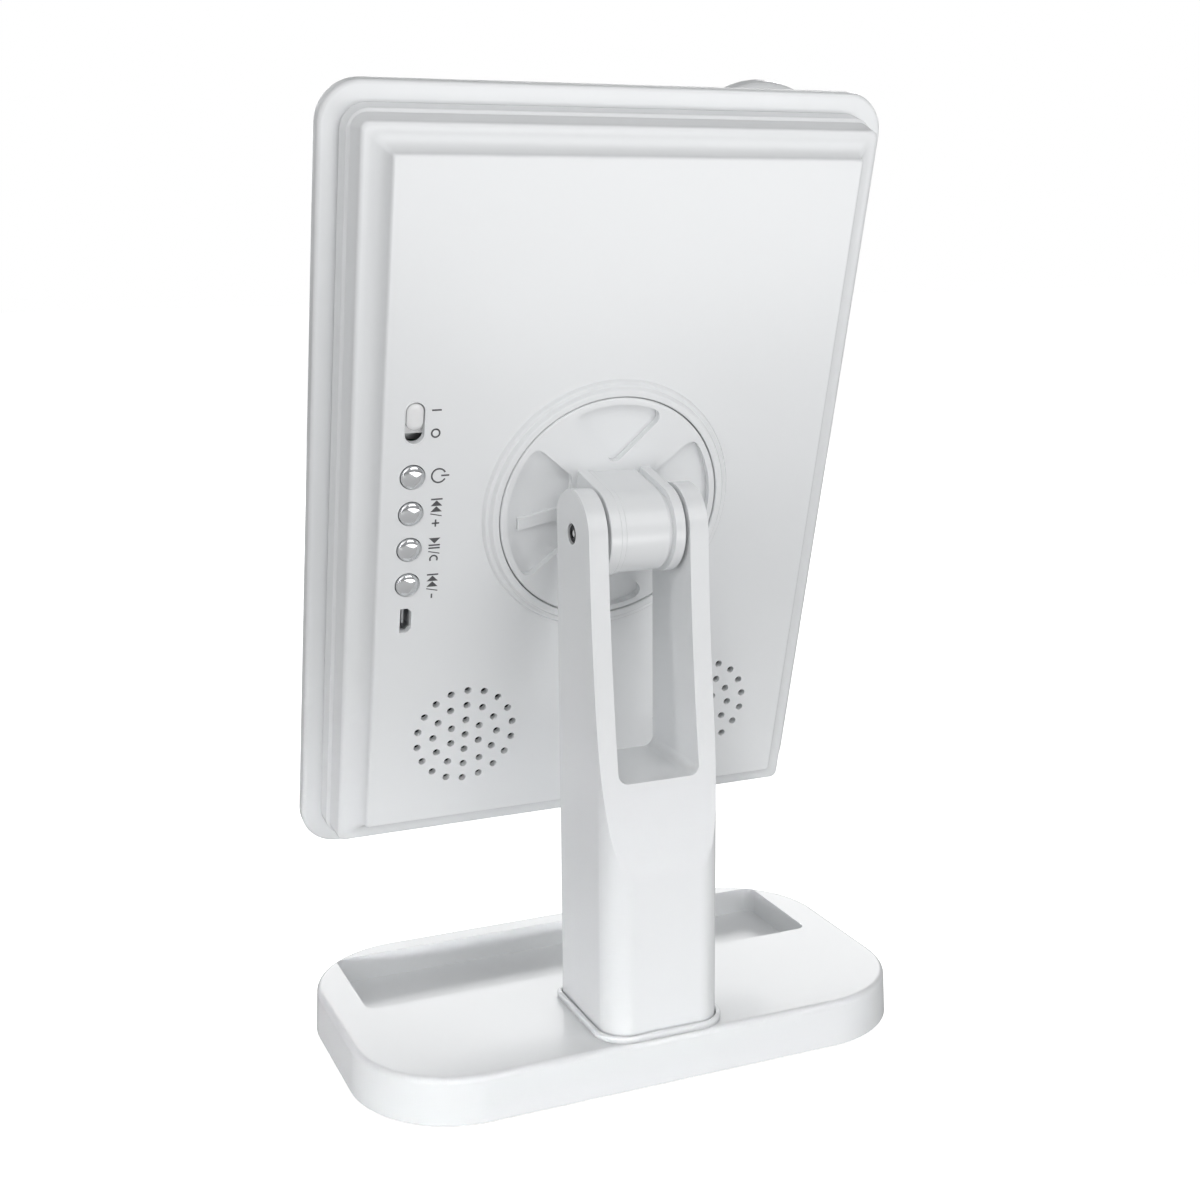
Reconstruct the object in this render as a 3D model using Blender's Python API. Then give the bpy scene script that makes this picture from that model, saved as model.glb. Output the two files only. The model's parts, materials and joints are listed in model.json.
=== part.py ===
"""A vanity mirror with built-in speakers, on a tray base with a forked post.

Metres, +Z up. The origin is under the middle of the base, on the surface that the feet rest on.
The mirror faces -Y, and its back, with the controls, faces +Y.

The head and the hub are drawn in the head's own axes, as someone behind the head sees it: X to
the right, Y up the head, and Z out of its back. Their origin is on the tilt hinge, so a height
there is a distance from the hinge's axis. The tilt_axis empty carries that frame.
"""

import math

import bmesh
import bpy
from mathutils import Vector

MM = 0.001

# How finely round shapes are cut.
ROUND_STEPS = 32
SMALL_STEPS = 12
HOLE_STEPS = 8
GRILLE_STEPS = 6
CORNER_STEPS = 4

# Clearances.
GAP = 0.3 * MM  # between pieces that touch
RUN_GAP = 0.3 * MM  # round a piece that moves
CLEAR = 5 * MM  # how far a cutter runs past what it cuts

# Base.
BASE_WIDTH = 175 * MM
BASE_DEPTH = 101 * MM
BASE_CORNER = 32 * MM
BASE_HEIGHT = 14.8 * MM  # floor to the base's top
BASE_WALL = 2.2 * MM
BASE_DRAFT = 0.6 * MM  # how much narrower the sides get towards the top
BASE_EDGE = 1.3 * MM
FOOT_PROUD = 0.8 * MM
FOOT_RADIUS = 6 * MM
FOOT_HEIGHT = 1.8 * MM
FOOT_INSET_X = 29.5 * MM  # from the base's side to a foot's middle
FOOT_INSET_Y = 12.5 * MM
BOTTOM_THICKNESS = 2.4 * MM
SCREW_TO_TRAY = 5.4 * MM  # from the tray's side to a front screw's middle
FRONT_SCREW_Y = -15 * MM
REAR_SCREW_INSET = 13.5 * MM  # from the base's side to a rear screw's middle
REAR_SCREW_Y = 30 * MM
TRAY_DEPTH = 8.5 * MM
TRAY_SIDE_RIM = 11.6 * MM  # from the base's side to the tray
TRAY_FRONT_RIM = 8.5 * MM
TRAY_TO_POST = 14.4 * MM
TRAY_CORNER = 3 * MM
WEIGHT_THICKNESS = 4.5 * MM
WEIGHT_SIDE_GAP = 28.5 * MM  # from the base's side to the weight
WEIGHT_LENGTH = 34 * MM
WEIGHT_SHIFT = 5 * MM  # how far the weight lies in front of the post's middle
PLATE_INSET = 0.2 * MM  # the bottom cover's lower face, above the base's rim

# Screws.
SCREW_RADIUS = 1.5 * MM
SCREW_HEAD_RADIUS = 2.8 * MM
SCREW_HEAD_HEIGHT = 1.6 * MM
SCREW_BOSS_RADIUS = 3 * MM
POST_BOSS_RADIUS = 4 * MM
BASE_SCREW_LENGTH = 5 * MM
POST_SCREW_LENGTH = 11 * MM
HUB_SCREW_LENGTH = 7 * MM

# Post.
POST_WIDTH = 37 * MM
POST_LENGTH = 37.3 * MM
POST_REAR_RIM = 2.5 * MM  # from the post's back to the base's rear edge
POST_REAR_CORNER = 8 * MM
POST_FRONT_CORNER = 2 * MM
POST_WALL = 2.6 * MM
ARM_THICKNESS = 5.8 * MM
WINDOW_FLOOR = 91 * MM
WINDOW_CORNER = 3 * MM
SHIELD_FOOT = 63.4 * MM  # height where the sloped back face meets the upright one
SHIELD_HOLLOW = 2.2 * MM
POST_CAVITY_TOP = 58 * MM
COLLAR_HEIGHT = 2 * MM
COLLAR_WIDTH = 1.4 * MM

# Tilt hinge.
HINGE_HEIGHT = 160.8 * MM
TILT_AT_REST = math.radians(14.7)  # the head's top leans back by this
ARM_RADIUS = 12.8 * MM
BARREL_RADIUS = 12.1 * MM
BARREL_FLANGE_RADIUS = 12.9 * MM
BARREL_FLANGE = 3.4 * MM
WASHER_THICKNESS = 0.5 * MM
WASHER_RADIUS = 9 * MM
PIN_RADIUS = 2 * MM
PIN_HEAD_RADIUS = 2.75 * MM
PIN_HEAD_HEIGHT = 2 * MM
PIN_SOCKET_RADIUS = 1.4 * MM
PIN_SOCKET_DEPTH = 1.3 * MM
NUT_RADIUS = 3.4 * MM
NUT_HEIGHT = 2.2 * MM

# Hub, in the head's axes.
DISC_RADIUS = 34.4 * MM
HUB_TO_POST = 2.6 * MM
DISC_THICKNESS = 4.2 * MM
POCKET_DEPTH = 2.4 * MM
POCKET_REACH = 32 * MM  # radius of the pockets' outer edge
POCKET_CORNER = 2.6 * MM
TOP_POCKET_HALF = math.radians(24)
TOP_POCKET_APEX = 14.8 * MM
SIDE_POCKET_HALF = math.radians(40)
RIB_WIDTH = 4.6 * MM  # the rib across each side pocket
RIB_DROP = 1.5 * MM  # how far below the pockets' edge the ribs end
RIB_FALL = math.radians(12)
SPIGOT_RADIUS = 12.7 * MM
RETAINER_RADIUS = 19 * MM
RETAINER_THICKNESS = 2 * MM
SPRING_WASHER_THICKNESS = 0.8 * MM
HUB_SCREW_CIRCLE = 8 * MM

# Head, in the head's axes.
HEAD_WIDTH = 170.8 * MM
HEAD_HEIGHT = 235.8 * MM
HEAD_CORNER = 12 * MM
HEAD_DEPTH = 23.2 * MM  # front to the flat back panel
BEZEL_THICKNESS = 5.4 * MM
BEZEL_EDGE = 1.2 * MM
BEZEL_FACE = 9 * MM  # width of the frame round the glass
BEZEL_LEDGE = 4 * MM  # what the glass rests on
BODY_INSET = 5.7 * MM  # from the rim to the raised body
BODY_DRAFT = 2.7 * MM
BODY_RISE = 12 * MM
COVE_WIDTH = 7.5 * MM
PANEL_CORNER = 2 * MM
COVER_WALL = 2.2 * MM
RING_PROUD = 2.4 * MM  # how far the hub's ring stands out of the panel
RING_TOP_WIDTH = 1.5 * MM
RING_SLOPE = 2.4 * MM
GLASS_THICKNESS = 3 * MM
GLASS_RECESS = 0.4 * MM
DIFFUSER_WIDTH = 12 * MM

# Controls, in the head's axes.
CONTROL_INSET = 8.8 * MM  # from the panel's edge to the column of controls
BUTTON_NAMES = ("power", "previous", "play", "next")
BUTTON_PITCH = 11.15 * MM
POWER_BUTTON_Y = 13 * MM
BUTTON_RADIUS = 3.8 * MM
BUTTON_PROUD = 1.4 * MM
BUTTON_FLANGE = 0.9 * MM
BUTTON_TRAVEL = 0.8 * MM
SLOT_WIDTH = 5.6 * MM
SLOT_LENGTH = 12 * MM
SLOT_Y = 29 * MM
KNOB_LENGTH = 7.9 * MM
KNOB_PROUD = 0.7 * MM
PORT_Y = -32 * MM
PORT_WIDTH = 3.4 * MM
PORT_LENGTH = 7.8 * MM
SWITCH_BODY = 6 * MM
SWITCH_HEIGHT = 3.6 * MM
PLUNGER_RADIUS = 1.7 * MM
PLUNGER_HEIGHT = 0.7 * MM
SLIDE_BODY = (6.6 * MM, 13 * MM)
CONTROL_BOARD_WIDTH = 13 * MM
CONTROL_BOARD_END = 9 * MM  # past the middles of the slot and the port
SWITCH_BOARD_THICKNESS = 1.2 * MM

# Speakers, in the head's axes.
SPEAKER_SIDE_INSET = 29.6 * MM  # from the panel's edges to a speaker's middle
SPEAKER_LOW_INSET = 28.8 * MM
SPEAKER_RADIUS = 19.5 * MM
SPEAKER_DEPTH = 12.5 * MM
GRILLE_RINGS = 3
GRILLE_PITCH = 5.13 * MM
GRILLE_HOLE_RADIUS = 1.1 * MM

# Spot mirror, in the head's axes.
SPOT_SIDE_INSET = 24.4 * MM  # from the frame's inner edges to the spot mirror's middle
SPOT_TOP_INSET = 16.6 * MM
SPOT_RADIUS = 26 * MM
SPOT_DEPTH = 9.5 * MM
SPOT_WALL = 1.8 * MM
SUCTION_RADIUS = 11 * MM
SUCTION_HEIGHT = 3.6 * MM
SPOT_STUB_RADIUS = 5 * MM

# Light strips, boards and battery, in the head's axes.
LIGHTS_PER_STRIP = 9
LIGHT_STRIP_WIDTH = 7 * MM
LIGHT_STRIP_END = 15 * MM  # from a strip's end to its board's end
LIGHT_STRIP_GAP = 3.2 * MM  # from the glass to the lamps' board
LAMP_HALF = 1.6 * MM
BATTERY_HEIGHT = 34 * MM
BATTERY_WIDTH = 50 * MM
BATTERY_DEPTH = 8 * MM
MAIN_BOARD_HEIGHT = 32 * MM
MAIN_BOARD_WIDTH = 44 * MM
MAIN_BOARD_THICKNESS = 1.6 * MM
MAIN_BOARD_DROP = 4 * MM  # from the cover's inside to the main board
BOARD_SPACING = 5 * MM  # between the hub's ring, the main board and the battery
LEAD_RADIUS = 0.8 * MM
LEAD_GAP = 1.2 * MM  # from a board's edge to the end of a lead's middle line

# Worked out from the sizes above.
POST_REAR = BASE_DEPTH / 2 - POST_REAR_RIM
POST_FRONT = POST_REAR - POST_LENGTH
POST_MIDDLE = (POST_FRONT + POST_REAR) / 2
TRAY_WIDTH = BASE_WIDTH - 2 * TRAY_SIDE_RIM
TRAY_FRONT = -BASE_DEPTH / 2 + TRAY_FRONT_RIM
TRAY_LENGTH = POST_FRONT - TRAY_TO_POST - TRAY_FRONT
HINGE_Y = POST_FRONT + ARM_RADIUS
ARM_INNER = POST_WIDTH / 2 - ARM_THICKNESS
BARREL_HALF = ARM_INNER - WASHER_THICKNESS - 2 * RUN_GAP
PIN_BORE = PIN_RADIUS + RUN_GAP
POST_BOTTOM = BASE_HEIGHT + GAP
DISC_BACK = -ARM_RADIUS - HUB_TO_POST
DISC_FRONT = DISC_BACK - DISC_THICKNESS
PANEL_BACK = DISC_BACK - RING_PROUD
HEAD_FRONT = PANEL_BACK - HEAD_DEPTH
RING_TOP = DISC_RADIUS + RUN_GAP + RING_TOP_WIDTH
RING_RADIUS = RING_TOP + RING_SLOPE
RECESS_FLOOR = DISC_FRONT - RUN_GAP
RECESS_WALL = 2 * MM
BOSS_FRONT = RECESS_FLOOR - RECESS_WALL
SPIGOT_FRONT = BOSS_FRONT - SPRING_WASHER_THICKNESS - 2 * RUN_GAP
RETAINER_BACK = SPIGOT_FRONT - GAP
BEZEL_BACK = HEAD_FRONT + BEZEL_THICKNESS
COVER_FRONT = BEZEL_BACK + GAP
BODY_TOP = COVER_FRONT + BODY_RISE
PANEL_INNER = PANEL_BACK - COVER_WALL
PANEL_INSET = BODY_INSET + BODY_DRAFT + COVE_WIDTH
PANEL_HALF_WIDTH = HEAD_WIDTH / 2 - PANEL_INSET
PANEL_HALF_HEIGHT = HEAD_HEIGHT / 2 - PANEL_INSET
CONTROL_X = -PANEL_HALF_WIDTH + CONTROL_INSET
SPEAKER_X = PANEL_HALF_WIDTH - SPEAKER_SIDE_INSET
SPEAKER_Y = -PANEL_HALF_HEIGHT + SPEAKER_LOW_INSET
GLASS_FRONT = HEAD_FRONT + GLASS_RECESS
GLASS_BACK = GLASS_FRONT + GLASS_THICKNESS
OPENING_WIDTH = HEAD_WIDTH - 2 * BEZEL_FACE
OPENING_HEIGHT = HEAD_HEIGHT - 2 * BEZEL_FACE
SPOT_X = OPENING_WIDTH / 2 - SPOT_SIDE_INSET
SPOT_Y = OPENING_HEIGHT / 2 - SPOT_TOP_INSET
LIGHT_X = OPENING_WIDTH / 2 - GAP - DIFFUSER_WIDTH / 2
BOARD_ROW_LOW = RING_RADIUS + BOARD_SPACING
MAIN_BOARD_X = -(BATTERY_WIDTH + BOARD_SPACING) / 2
MAIN_BOARD_Y = BOARD_ROW_LOW + MAIN_BOARD_HEIGHT / 2
MAIN_BOARD_BACK = PANEL_INNER - MAIN_BOARD_DROP
BATTERY_X = (MAIN_BOARD_WIDTH + BOARD_SPACING) / 2
BATTERY_Y = BOARD_ROW_LOW + BATTERY_HEIGHT / 2
BUTTON_YS = [POWER_BUTTON_Y - BUTTON_PITCH * i for i in range(4)]
FLANGE_BACK = PANEL_INNER - RUN_GAP
SWITCH_TOP = FLANGE_BACK - BUTTON_FLANGE - BUTTON_TRAVEL - 2 * RUN_GAP
SWITCH_BOARD_BACK = SWITCH_TOP - SWITCH_HEIGHT - GAP
SLIDE_TRAVEL = SLOT_LENGTH - KNOB_LENGTH - 2 * RUN_GAP
KNOB_Y = SLOT_Y + SLIDE_TRAVEL / 2


# ---- Finishes ----------------------------------------------------------------------------


def finish(name, colour, roughness, metallic=0.0):
    """A Principled material of one colour."""
    material = bpy.data.materials.new(name)
    material.use_nodes = True
    shader = material.node_tree.nodes["Principled BSDF"]
    shader.inputs["Base Color"].default_value = (*colour, 1)
    shader.inputs["Roughness"].default_value = roughness
    shader.inputs["Metallic"].default_value = metallic
    material.diffuse_color = (*colour, 1)
    return material


WHITE_GLOSS = ((0.86, 0.87, 0.88), 0.18)
WHITE_SATIN = ((0.80, 0.81, 0.82), 0.4)
BLACK_PLASTIC = ((0.03, 0.03, 0.03), 0.5)
BLACK_RUBBER = ((0.04, 0.04, 0.04), 0.8)
BRIGHT_CHROME = ((0.85, 0.86, 0.87), 0.08, 1.0)
PLAIN_STEEL = ((0.55, 0.56, 0.57), 0.35, 1.0)
SILVERED_GLASS = ((0.9, 0.91, 0.92), 0.02, 1.0)
MILKY_PLASTIC = ((0.93, 0.92, 0.88), 0.5)
GREEN_BOARD = ((0.03, 0.22, 0.1), 0.45)
CLEAR_VINYL = ((0.8, 0.82, 0.82), 0.2)
FIBRE_PAPER = ((0.05, 0.05, 0.05), 0.9)
FERRITE = ((0.1, 0.1, 0.1), 0.6)
BATTERY_WRAP = ((0.1, 0.25, 0.5), 0.35)
RED_WIRE = ((0.5, 0.03, 0.03), 0.4)


# ---- Outlines ----------------------------------------------------------------------------


def arc(centre, radius, start, end, steps):
    """Points on an arc between two angles, both ends included."""
    angles = [start + (end - start) * i / steps for i in range(steps + 1)]
    return [(centre[0] + radius * math.cos(a), centre[1] + radius * math.sin(a)) for a in angles]


def rounded_corner(before, corner, after, radius, steps):
    """Points that round one corner of an outline with an arc."""
    to_before = (Vector(before) - Vector(corner)).normalized()
    to_after = (Vector(after) - Vector(corner)).normalized()
    half = to_before.angle(to_after) / 2
    bisector = (to_before + to_after).normalized()
    centre = Vector(corner) + bisector * (radius / math.sin(half))
    start = Vector(corner) + to_before * (radius / math.tan(half)) - centre
    end = Vector(corner) + to_after * (radius / math.tan(half)) - centre
    first = math.atan2(start.y, start.x)
    turn = (math.atan2(end.y, end.x) - first + math.pi) % (2 * math.pi) - math.pi
    return arc(centre, radius, first, first + turn, steps)


def rounded_outline(corners, radii, steps=CORNER_STEPS):
    """A polygon whose corners are rounded by the radius given for each."""
    points = []
    for i, corner in enumerate(corners):
        after = corners[(i + 1) % len(corners)]
        points += rounded_corner(corners[i - 1], corner, after, radii[i], steps)
    return points


def rectangle(width, height, radius, centre=(0, 0), steps=CORNER_STEPS):
    """A rounded rectangle."""
    x, y = width / 2, height / 2
    corners = [(x, y), (-x, y), (-x, -y), (x, -y)]
    moved = [(centre[0] + a, centre[1] + b) for a, b in corners]
    return rounded_outline(moved, [radius] * 4, steps)


def circle(radius, centre=(0, 0), steps=SMALL_STEPS, phase=0.0):
    """A full circle."""
    return arc(centre, radius, phase, phase + 2 * math.pi, steps)[:-1]


# ---- Shapes ------------------------------------------------------------------------------


PLACES = {
    "X": lambda a, b, along: (along, a, b),
    "Y": lambda a, b, along: (a, along, b),
    "Z": lambda a, b, along: (a, b, along),
}


def closed_up(shape):
    """The shape with its normals pointing out."""
    bmesh.ops.recalc_face_normals(shape, faces=shape.faces)
    return shape


def prism(outline, low, high, axis="Z", shape=None):
    """An outline drawn along an axis from low to high."""
    shape = shape or bmesh.new()
    verts = [shape.verts.new(PLACES[axis](a, b, low)) for a, b in outline]
    drawn = bmesh.ops.extrude_face_region(shape, geom=[shape.faces.new(verts)])
    raised = [v for v in drawn["geom"] if isinstance(v, bmesh.types.BMVert)]
    bmesh.ops.translate(shape, vec=Vector(PLACES[axis](0, 0, high - low)), verts=raised)
    return closed_up(shape)


def loft(loops, heights, axis="Z", cyclic=False):
    """An outline extruded from height to height, and moved to the next outline each time.

    Every outline has as many points as the first. The ends are closed, unless the loft is cyclic:
    then its last outline joins its first, which makes a ring.
    """
    shape = bmesh.new()
    places = [[PLACES[axis](a, b, h) for a, b in loop] for loop, h in zip(loops, heights)]
    first = shape.faces.new([shape.verts.new(point) for point in places[0]])
    face = first
    for points in places[1:] + places[:1] * cyclic:
        drawn = bmesh.ops.extrude_face_region(shape, geom=[face])
        if face is not first:
            shape.faces.remove(face)
        face = next(f for f in drawn["geom"] if isinstance(f, bmesh.types.BMFace))
        for vert, point in zip(face.verts, points):
            vert.co = point
    if cyclic:
        bmesh.ops.delete(shape, geom=[first, face], context="FACES_ONLY")
        bmesh.ops.remove_doubles(shape, verts=shape.verts, dist=0.001 * MM)
    return closed_up(shape)


def turned(profile, axis="Z", steps=ROUND_STEPS, shape=None):
    """A profile of (radius, height) points turned round an axis."""
    shape = shape or bmesh.new()
    directions = {"X": Vector((1, 0, 0)), "Z": Vector((0, 0, 1))}
    verts = [shape.verts.new(PLACES[axis](radius, 0, height)) for radius, height in profile]
    edges = [shape.edges.new(pair) for pair in zip(verts, verts[1:])]
    if all(radius > 0 for radius, _ in profile):
        edges.append(shape.edges.new((verts[-1], verts[0])))
    bmesh.ops.spin(
        shape,
        geom=verts + edges,
        cent=(0, 0, 0),
        axis=directions[axis],
        angle=2 * math.pi,
        steps=steps,
        use_merge=True,
    )
    bmesh.ops.remove_doubles(shape, verts=shape.verts, dist=0.001 * MM)
    return closed_up(shape)


def disc(radius, low, high, axis="Z", steps=SMALL_STEPS, shape=None):
    """A plain round bar."""
    return prism(circle(radius, steps=steps), low, high, axis, shape)


def washer(inner, outer, low, high, axis="Z", steps=SMALL_STEPS):
    """A flat ring."""
    return turned([(inner, low), (outer, low), (outer, high), (inner, high)], axis, steps)


# ---- Objects -----------------------------------------------------------------------------


def put(name, shape, parent=None, location=(0, 0, 0)):
    """Makes a mesh object from a bmesh."""
    mesh = bpy.data.meshes.new(name)
    shape.to_mesh(mesh)
    shape.free()
    piece = bpy.data.objects.new(name, mesh)
    piece.location = location
    piece.parent = parent
    bpy.context.scene.collection.objects.link(piece)
    return piece


def piece_of(name, shape, look, parent=None, location=(0, 0, 0)):
    """A visible piece with its own material."""
    piece = put(name, shape, parent, location)
    piece.data.materials.append(finish(name, *look))
    piece.data.shade_smooth()
    piece.data.set_sharp_from_angle(angle=math.radians(35))
    return piece


def change(piece, name, shape, operation="DIFFERENCE", location=(0, 0, 0)):
    """Cuts a helper shape from a piece, or joins it on. The helper shares the piece's parent."""
    tool = put(name, shape, piece.parent, location)
    tool.hide_render = True
    tool.display_type = "WIRE"
    boolean = piece.modifiers.new(name, "BOOLEAN")
    boolean.operation = operation
    boolean.solver = "EXACT"
    boolean.object = tool


def axis_empty(name, location, rotation=(0, 0, 0), parent=None):
    """An empty that stands on a joint's axis."""
    empty = bpy.data.objects.new(name, None)
    empty.empty_display_size = 10 * MM
    empty.location = location
    empty.rotation_euler = rotation
    empty.parent = parent
    bpy.context.scene.collection.objects.link(empty)
    return empty


# ---- Base --------------------------------------------------------------------------------


def base_outline(inset):
    """The base's outline, moved in by a distance."""
    return rectangle(
        BASE_WIDTH - 2 * inset, BASE_DEPTH - 2 * inset, BASE_CORNER - inset, steps=2 * CORNER_STEPS
    )


def tray_outline(grow):
    """The tray's outline, moved out by a distance."""
    middle = TRAY_FRONT + TRAY_LENGTH / 2
    width = TRAY_WIDTH + 2 * grow
    length = TRAY_LENGTH + 2 * grow
    return rectangle(width, length, TRAY_CORNER + grow, (0, middle))


def base_screw_places():
    """Where the bottom cover is screwed on: beside the tray, and behind the weight."""
    beside = TRAY_WIDTH / 2 + SCREW_TO_TRAY
    behind = BASE_WIDTH / 2 - REAR_SCREW_INSET
    return {
        "front_left": (-beside, FRONT_SCREW_Y),
        "front_right": (beside, FRONT_SCREW_Y),
        "rear_left": (-behind, REAR_SCREW_Y),
        "rear_right": (behind, REAR_SCREW_Y),
    }


def post_screw_places():
    """Where the post is screwed down, from below."""
    return {"left": (-POST_WIDTH / 4, POST_MIDDLE), "right": (POST_WIDTH / 4, POST_MIDDLE)}


def make_base_shell():
    """The moulded top of the base, open below, with the tray sunk into its front half."""
    wall = BASE_WALL + BASE_DRAFT
    top = BASE_HEIGHT
    turn = BASE_EDGE * (1 - math.sqrt(0.5))
    sections = [
        (wall, top - BASE_WALL),
        (BASE_WALL, FOOT_PROUD),
        (0, FOOT_PROUD),
        (BASE_DRAFT, top - BASE_EDGE),
        (BASE_DRAFT + turn, top - turn),
        (BASE_DRAFT + BASE_EDGE, top),
    ]
    outlines = [base_outline(inset) for inset, _ in sections]
    shell = piece_of("base_shell", loft(outlines, [z for _, z in sections]), WHITE_GLOSS)
    tray_floor = top - TRAY_DEPTH
    tub = prism(tray_outline(BASE_WALL), tray_floor - BASE_WALL, top - BASE_WALL / 2)
    change(shell, "tray_tub", tub, "UNION")
    for name, (x, y) in base_screw_places().items():
        low = FOOT_PROUD + BOTTOM_THICKNESS + 2 * GAP
        boss = disc(SCREW_BOSS_RADIUS, low, top - BASE_WALL / 2, steps=HOLE_STEPS)
        change(shell, "boss_" + name, boss, "UNION", (x, y, 0))
    change(shell, "tray_hollow", prism(tray_outline(0), tray_floor, top + CLEAR))
    bores = bmesh.new()
    for x, y in base_screw_places().values():
        outline = circle(SCREW_RADIUS + GAP, (x, y), HOLE_STEPS)
        prism(outline, FOOT_PROUD, top - 2 * BASE_WALL, shape=bores)
    for x, y in post_screw_places().values():
        outline = circle(SCREW_RADIUS + GAP, (x, y), HOLE_STEPS)
        prism(outline, top - 2 * BASE_WALL, top + CLEAR, shape=bores)
    change(shell, "base_bores", bores)


def foot_places():
    """The feet's middles."""
    x = BASE_WIDTH / 2 - FOOT_INSET_X
    y = BASE_DEPTH / 2 - FOOT_INSET_Y
    return {
        "front_left": (-x, -y),
        "front_right": (x, -y),
        "rear_left": (-x, y),
        "rear_right": (x, y),
    }


def make_bottom_cover():
    """The flat plate that closes the base from below, with seats for the feet."""
    low = FOOT_PROUD + PLATE_INSET
    plate = prism(base_outline(BASE_WALL + BASE_DRAFT + GAP), low, low + BOTTOM_THICKNESS)
    cover = piece_of("base_bottom_cover", plate, WHITE_SATIN)
    seats = bmesh.new()
    for place in foot_places().values():
        outline = circle(FOOT_RADIUS + GAP, place)
        prism(outline, low - CLEAR, FOOT_HEIGHT + GAP, shape=seats)
    for place in base_screw_places().values():
        outline = circle(SCREW_RADIUS + GAP, place, HOLE_STEPS)
        prism(outline, low - CLEAR, low + CLEAR, shape=seats)
    change(cover, "foot_seats", seats)
    sinks = bmesh.new()
    for place in base_screw_places().values():
        outline = circle(SCREW_HEAD_RADIUS + GAP, place)
        prism(outline, low - CLEAR, low + SCREW_HEAD_HEIGHT, shape=sinks)
    change(cover, "screw_sinks", sinks)


def screw(shank_length):
    """A pan-head screw pointing up, with its head's top at height 0."""
    profile = [
        (0, 0),
        (SCREW_HEAD_RADIUS * 0.75, 0),
        (SCREW_HEAD_RADIUS, SCREW_HEAD_HEIGHT * 0.4),
        (SCREW_HEAD_RADIUS, SCREW_HEAD_HEIGHT - GAP),
        (SCREW_RADIUS, SCREW_HEAD_HEIGHT - GAP),
        (SCREW_RADIUS, SCREW_HEAD_HEIGHT + shank_length - SCREW_RADIUS),
        (0, SCREW_HEAD_HEIGHT + shank_length),
    ]
    return turned(profile, steps=SMALL_STEPS)


def make_base_fittings():
    """The feet, the weight and the screws."""
    for name, (x, y) in foot_places().items():
        foot = disc(FOOT_RADIUS, 0, FOOT_HEIGHT)
        piece_of("foot_" + name, foot, BLACK_RUBBER, location=(x, y, 0))
    for name, (x, y) in base_screw_places().items():
        place = (x, y, FOOT_PROUD + PLATE_INSET + GAP)
        piece_of("base_screw_" + name, screw(BASE_SCREW_LENGTH), PLAIN_STEEL, location=place)
    low = FOOT_PROUD + PLATE_INSET + BOTTOM_THICKNESS + GAP
    middle = POST_MIDDLE - WEIGHT_SHIFT
    width = BASE_WIDTH - 2 * WEIGHT_SIDE_GAP
    outline = rectangle(width, WEIGHT_LENGTH, 2 * MM, (0, middle), steps=2)
    piece_of("base_weight", prism(outline, low, low + WEIGHT_THICKNESS), PLAIN_STEEL)
    for name, (x, y) in post_screw_places().items():
        place = (x, y, BASE_HEIGHT - BASE_WALL - SCREW_HEAD_HEIGHT)
        piece_of("post_screw_" + name, screw(POST_SCREW_LENGTH), PLAIN_STEEL, location=place)


# ---- Post --------------------------------------------------------------------------------


def post_outline(grow):
    """The post's plan, moved out by a distance: square at the front, well rounded behind."""
    x = POST_WIDTH / 2 + grow
    front, rear = POST_FRONT - grow, POST_REAR + grow
    corners = [(x, rear), (-x, rear), (-x, front), (x, front)]
    rear_radius = max(POST_REAR_CORNER + grow, 0.5 * MM)
    front_radius = max(POST_FRONT_CORNER + grow, 0.5 * MM)
    return rounded_outline(corners, [rear_radius] * 2 + [front_radius] * 2)


def shield_point(share):
    """A point of the hollow back face, at a share of the way down from the hinge to its foot."""
    top = HINGE_Y + ARM_RADIUS
    y = top + (POST_REAR - top) * share - 4 * SHIELD_HOLLOW * share * (1 - share)
    return (y, HINGE_HEIGHT + (SHIELD_FOOT - HINGE_HEIGHT) * share)


def post_side():
    """The post's side view: upright in front, a round top, and the hollow back face."""
    low = POST_BOTTOM - CLEAR
    steps = 10
    back = [shield_point(i / steps) for i in range(steps + 3)]
    top = arc((HINGE_Y, HINGE_HEIGHT), ARM_RADIUS, 0, math.pi, ROUND_STEPS // 2)
    front = POST_FRONT - CLEAR / 5
    upright = [(front, HINGE_HEIGHT - CLEAR), (front, low)]
    return top + upright + [(back[-1][0], low)] + back[:0:-1]


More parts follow.
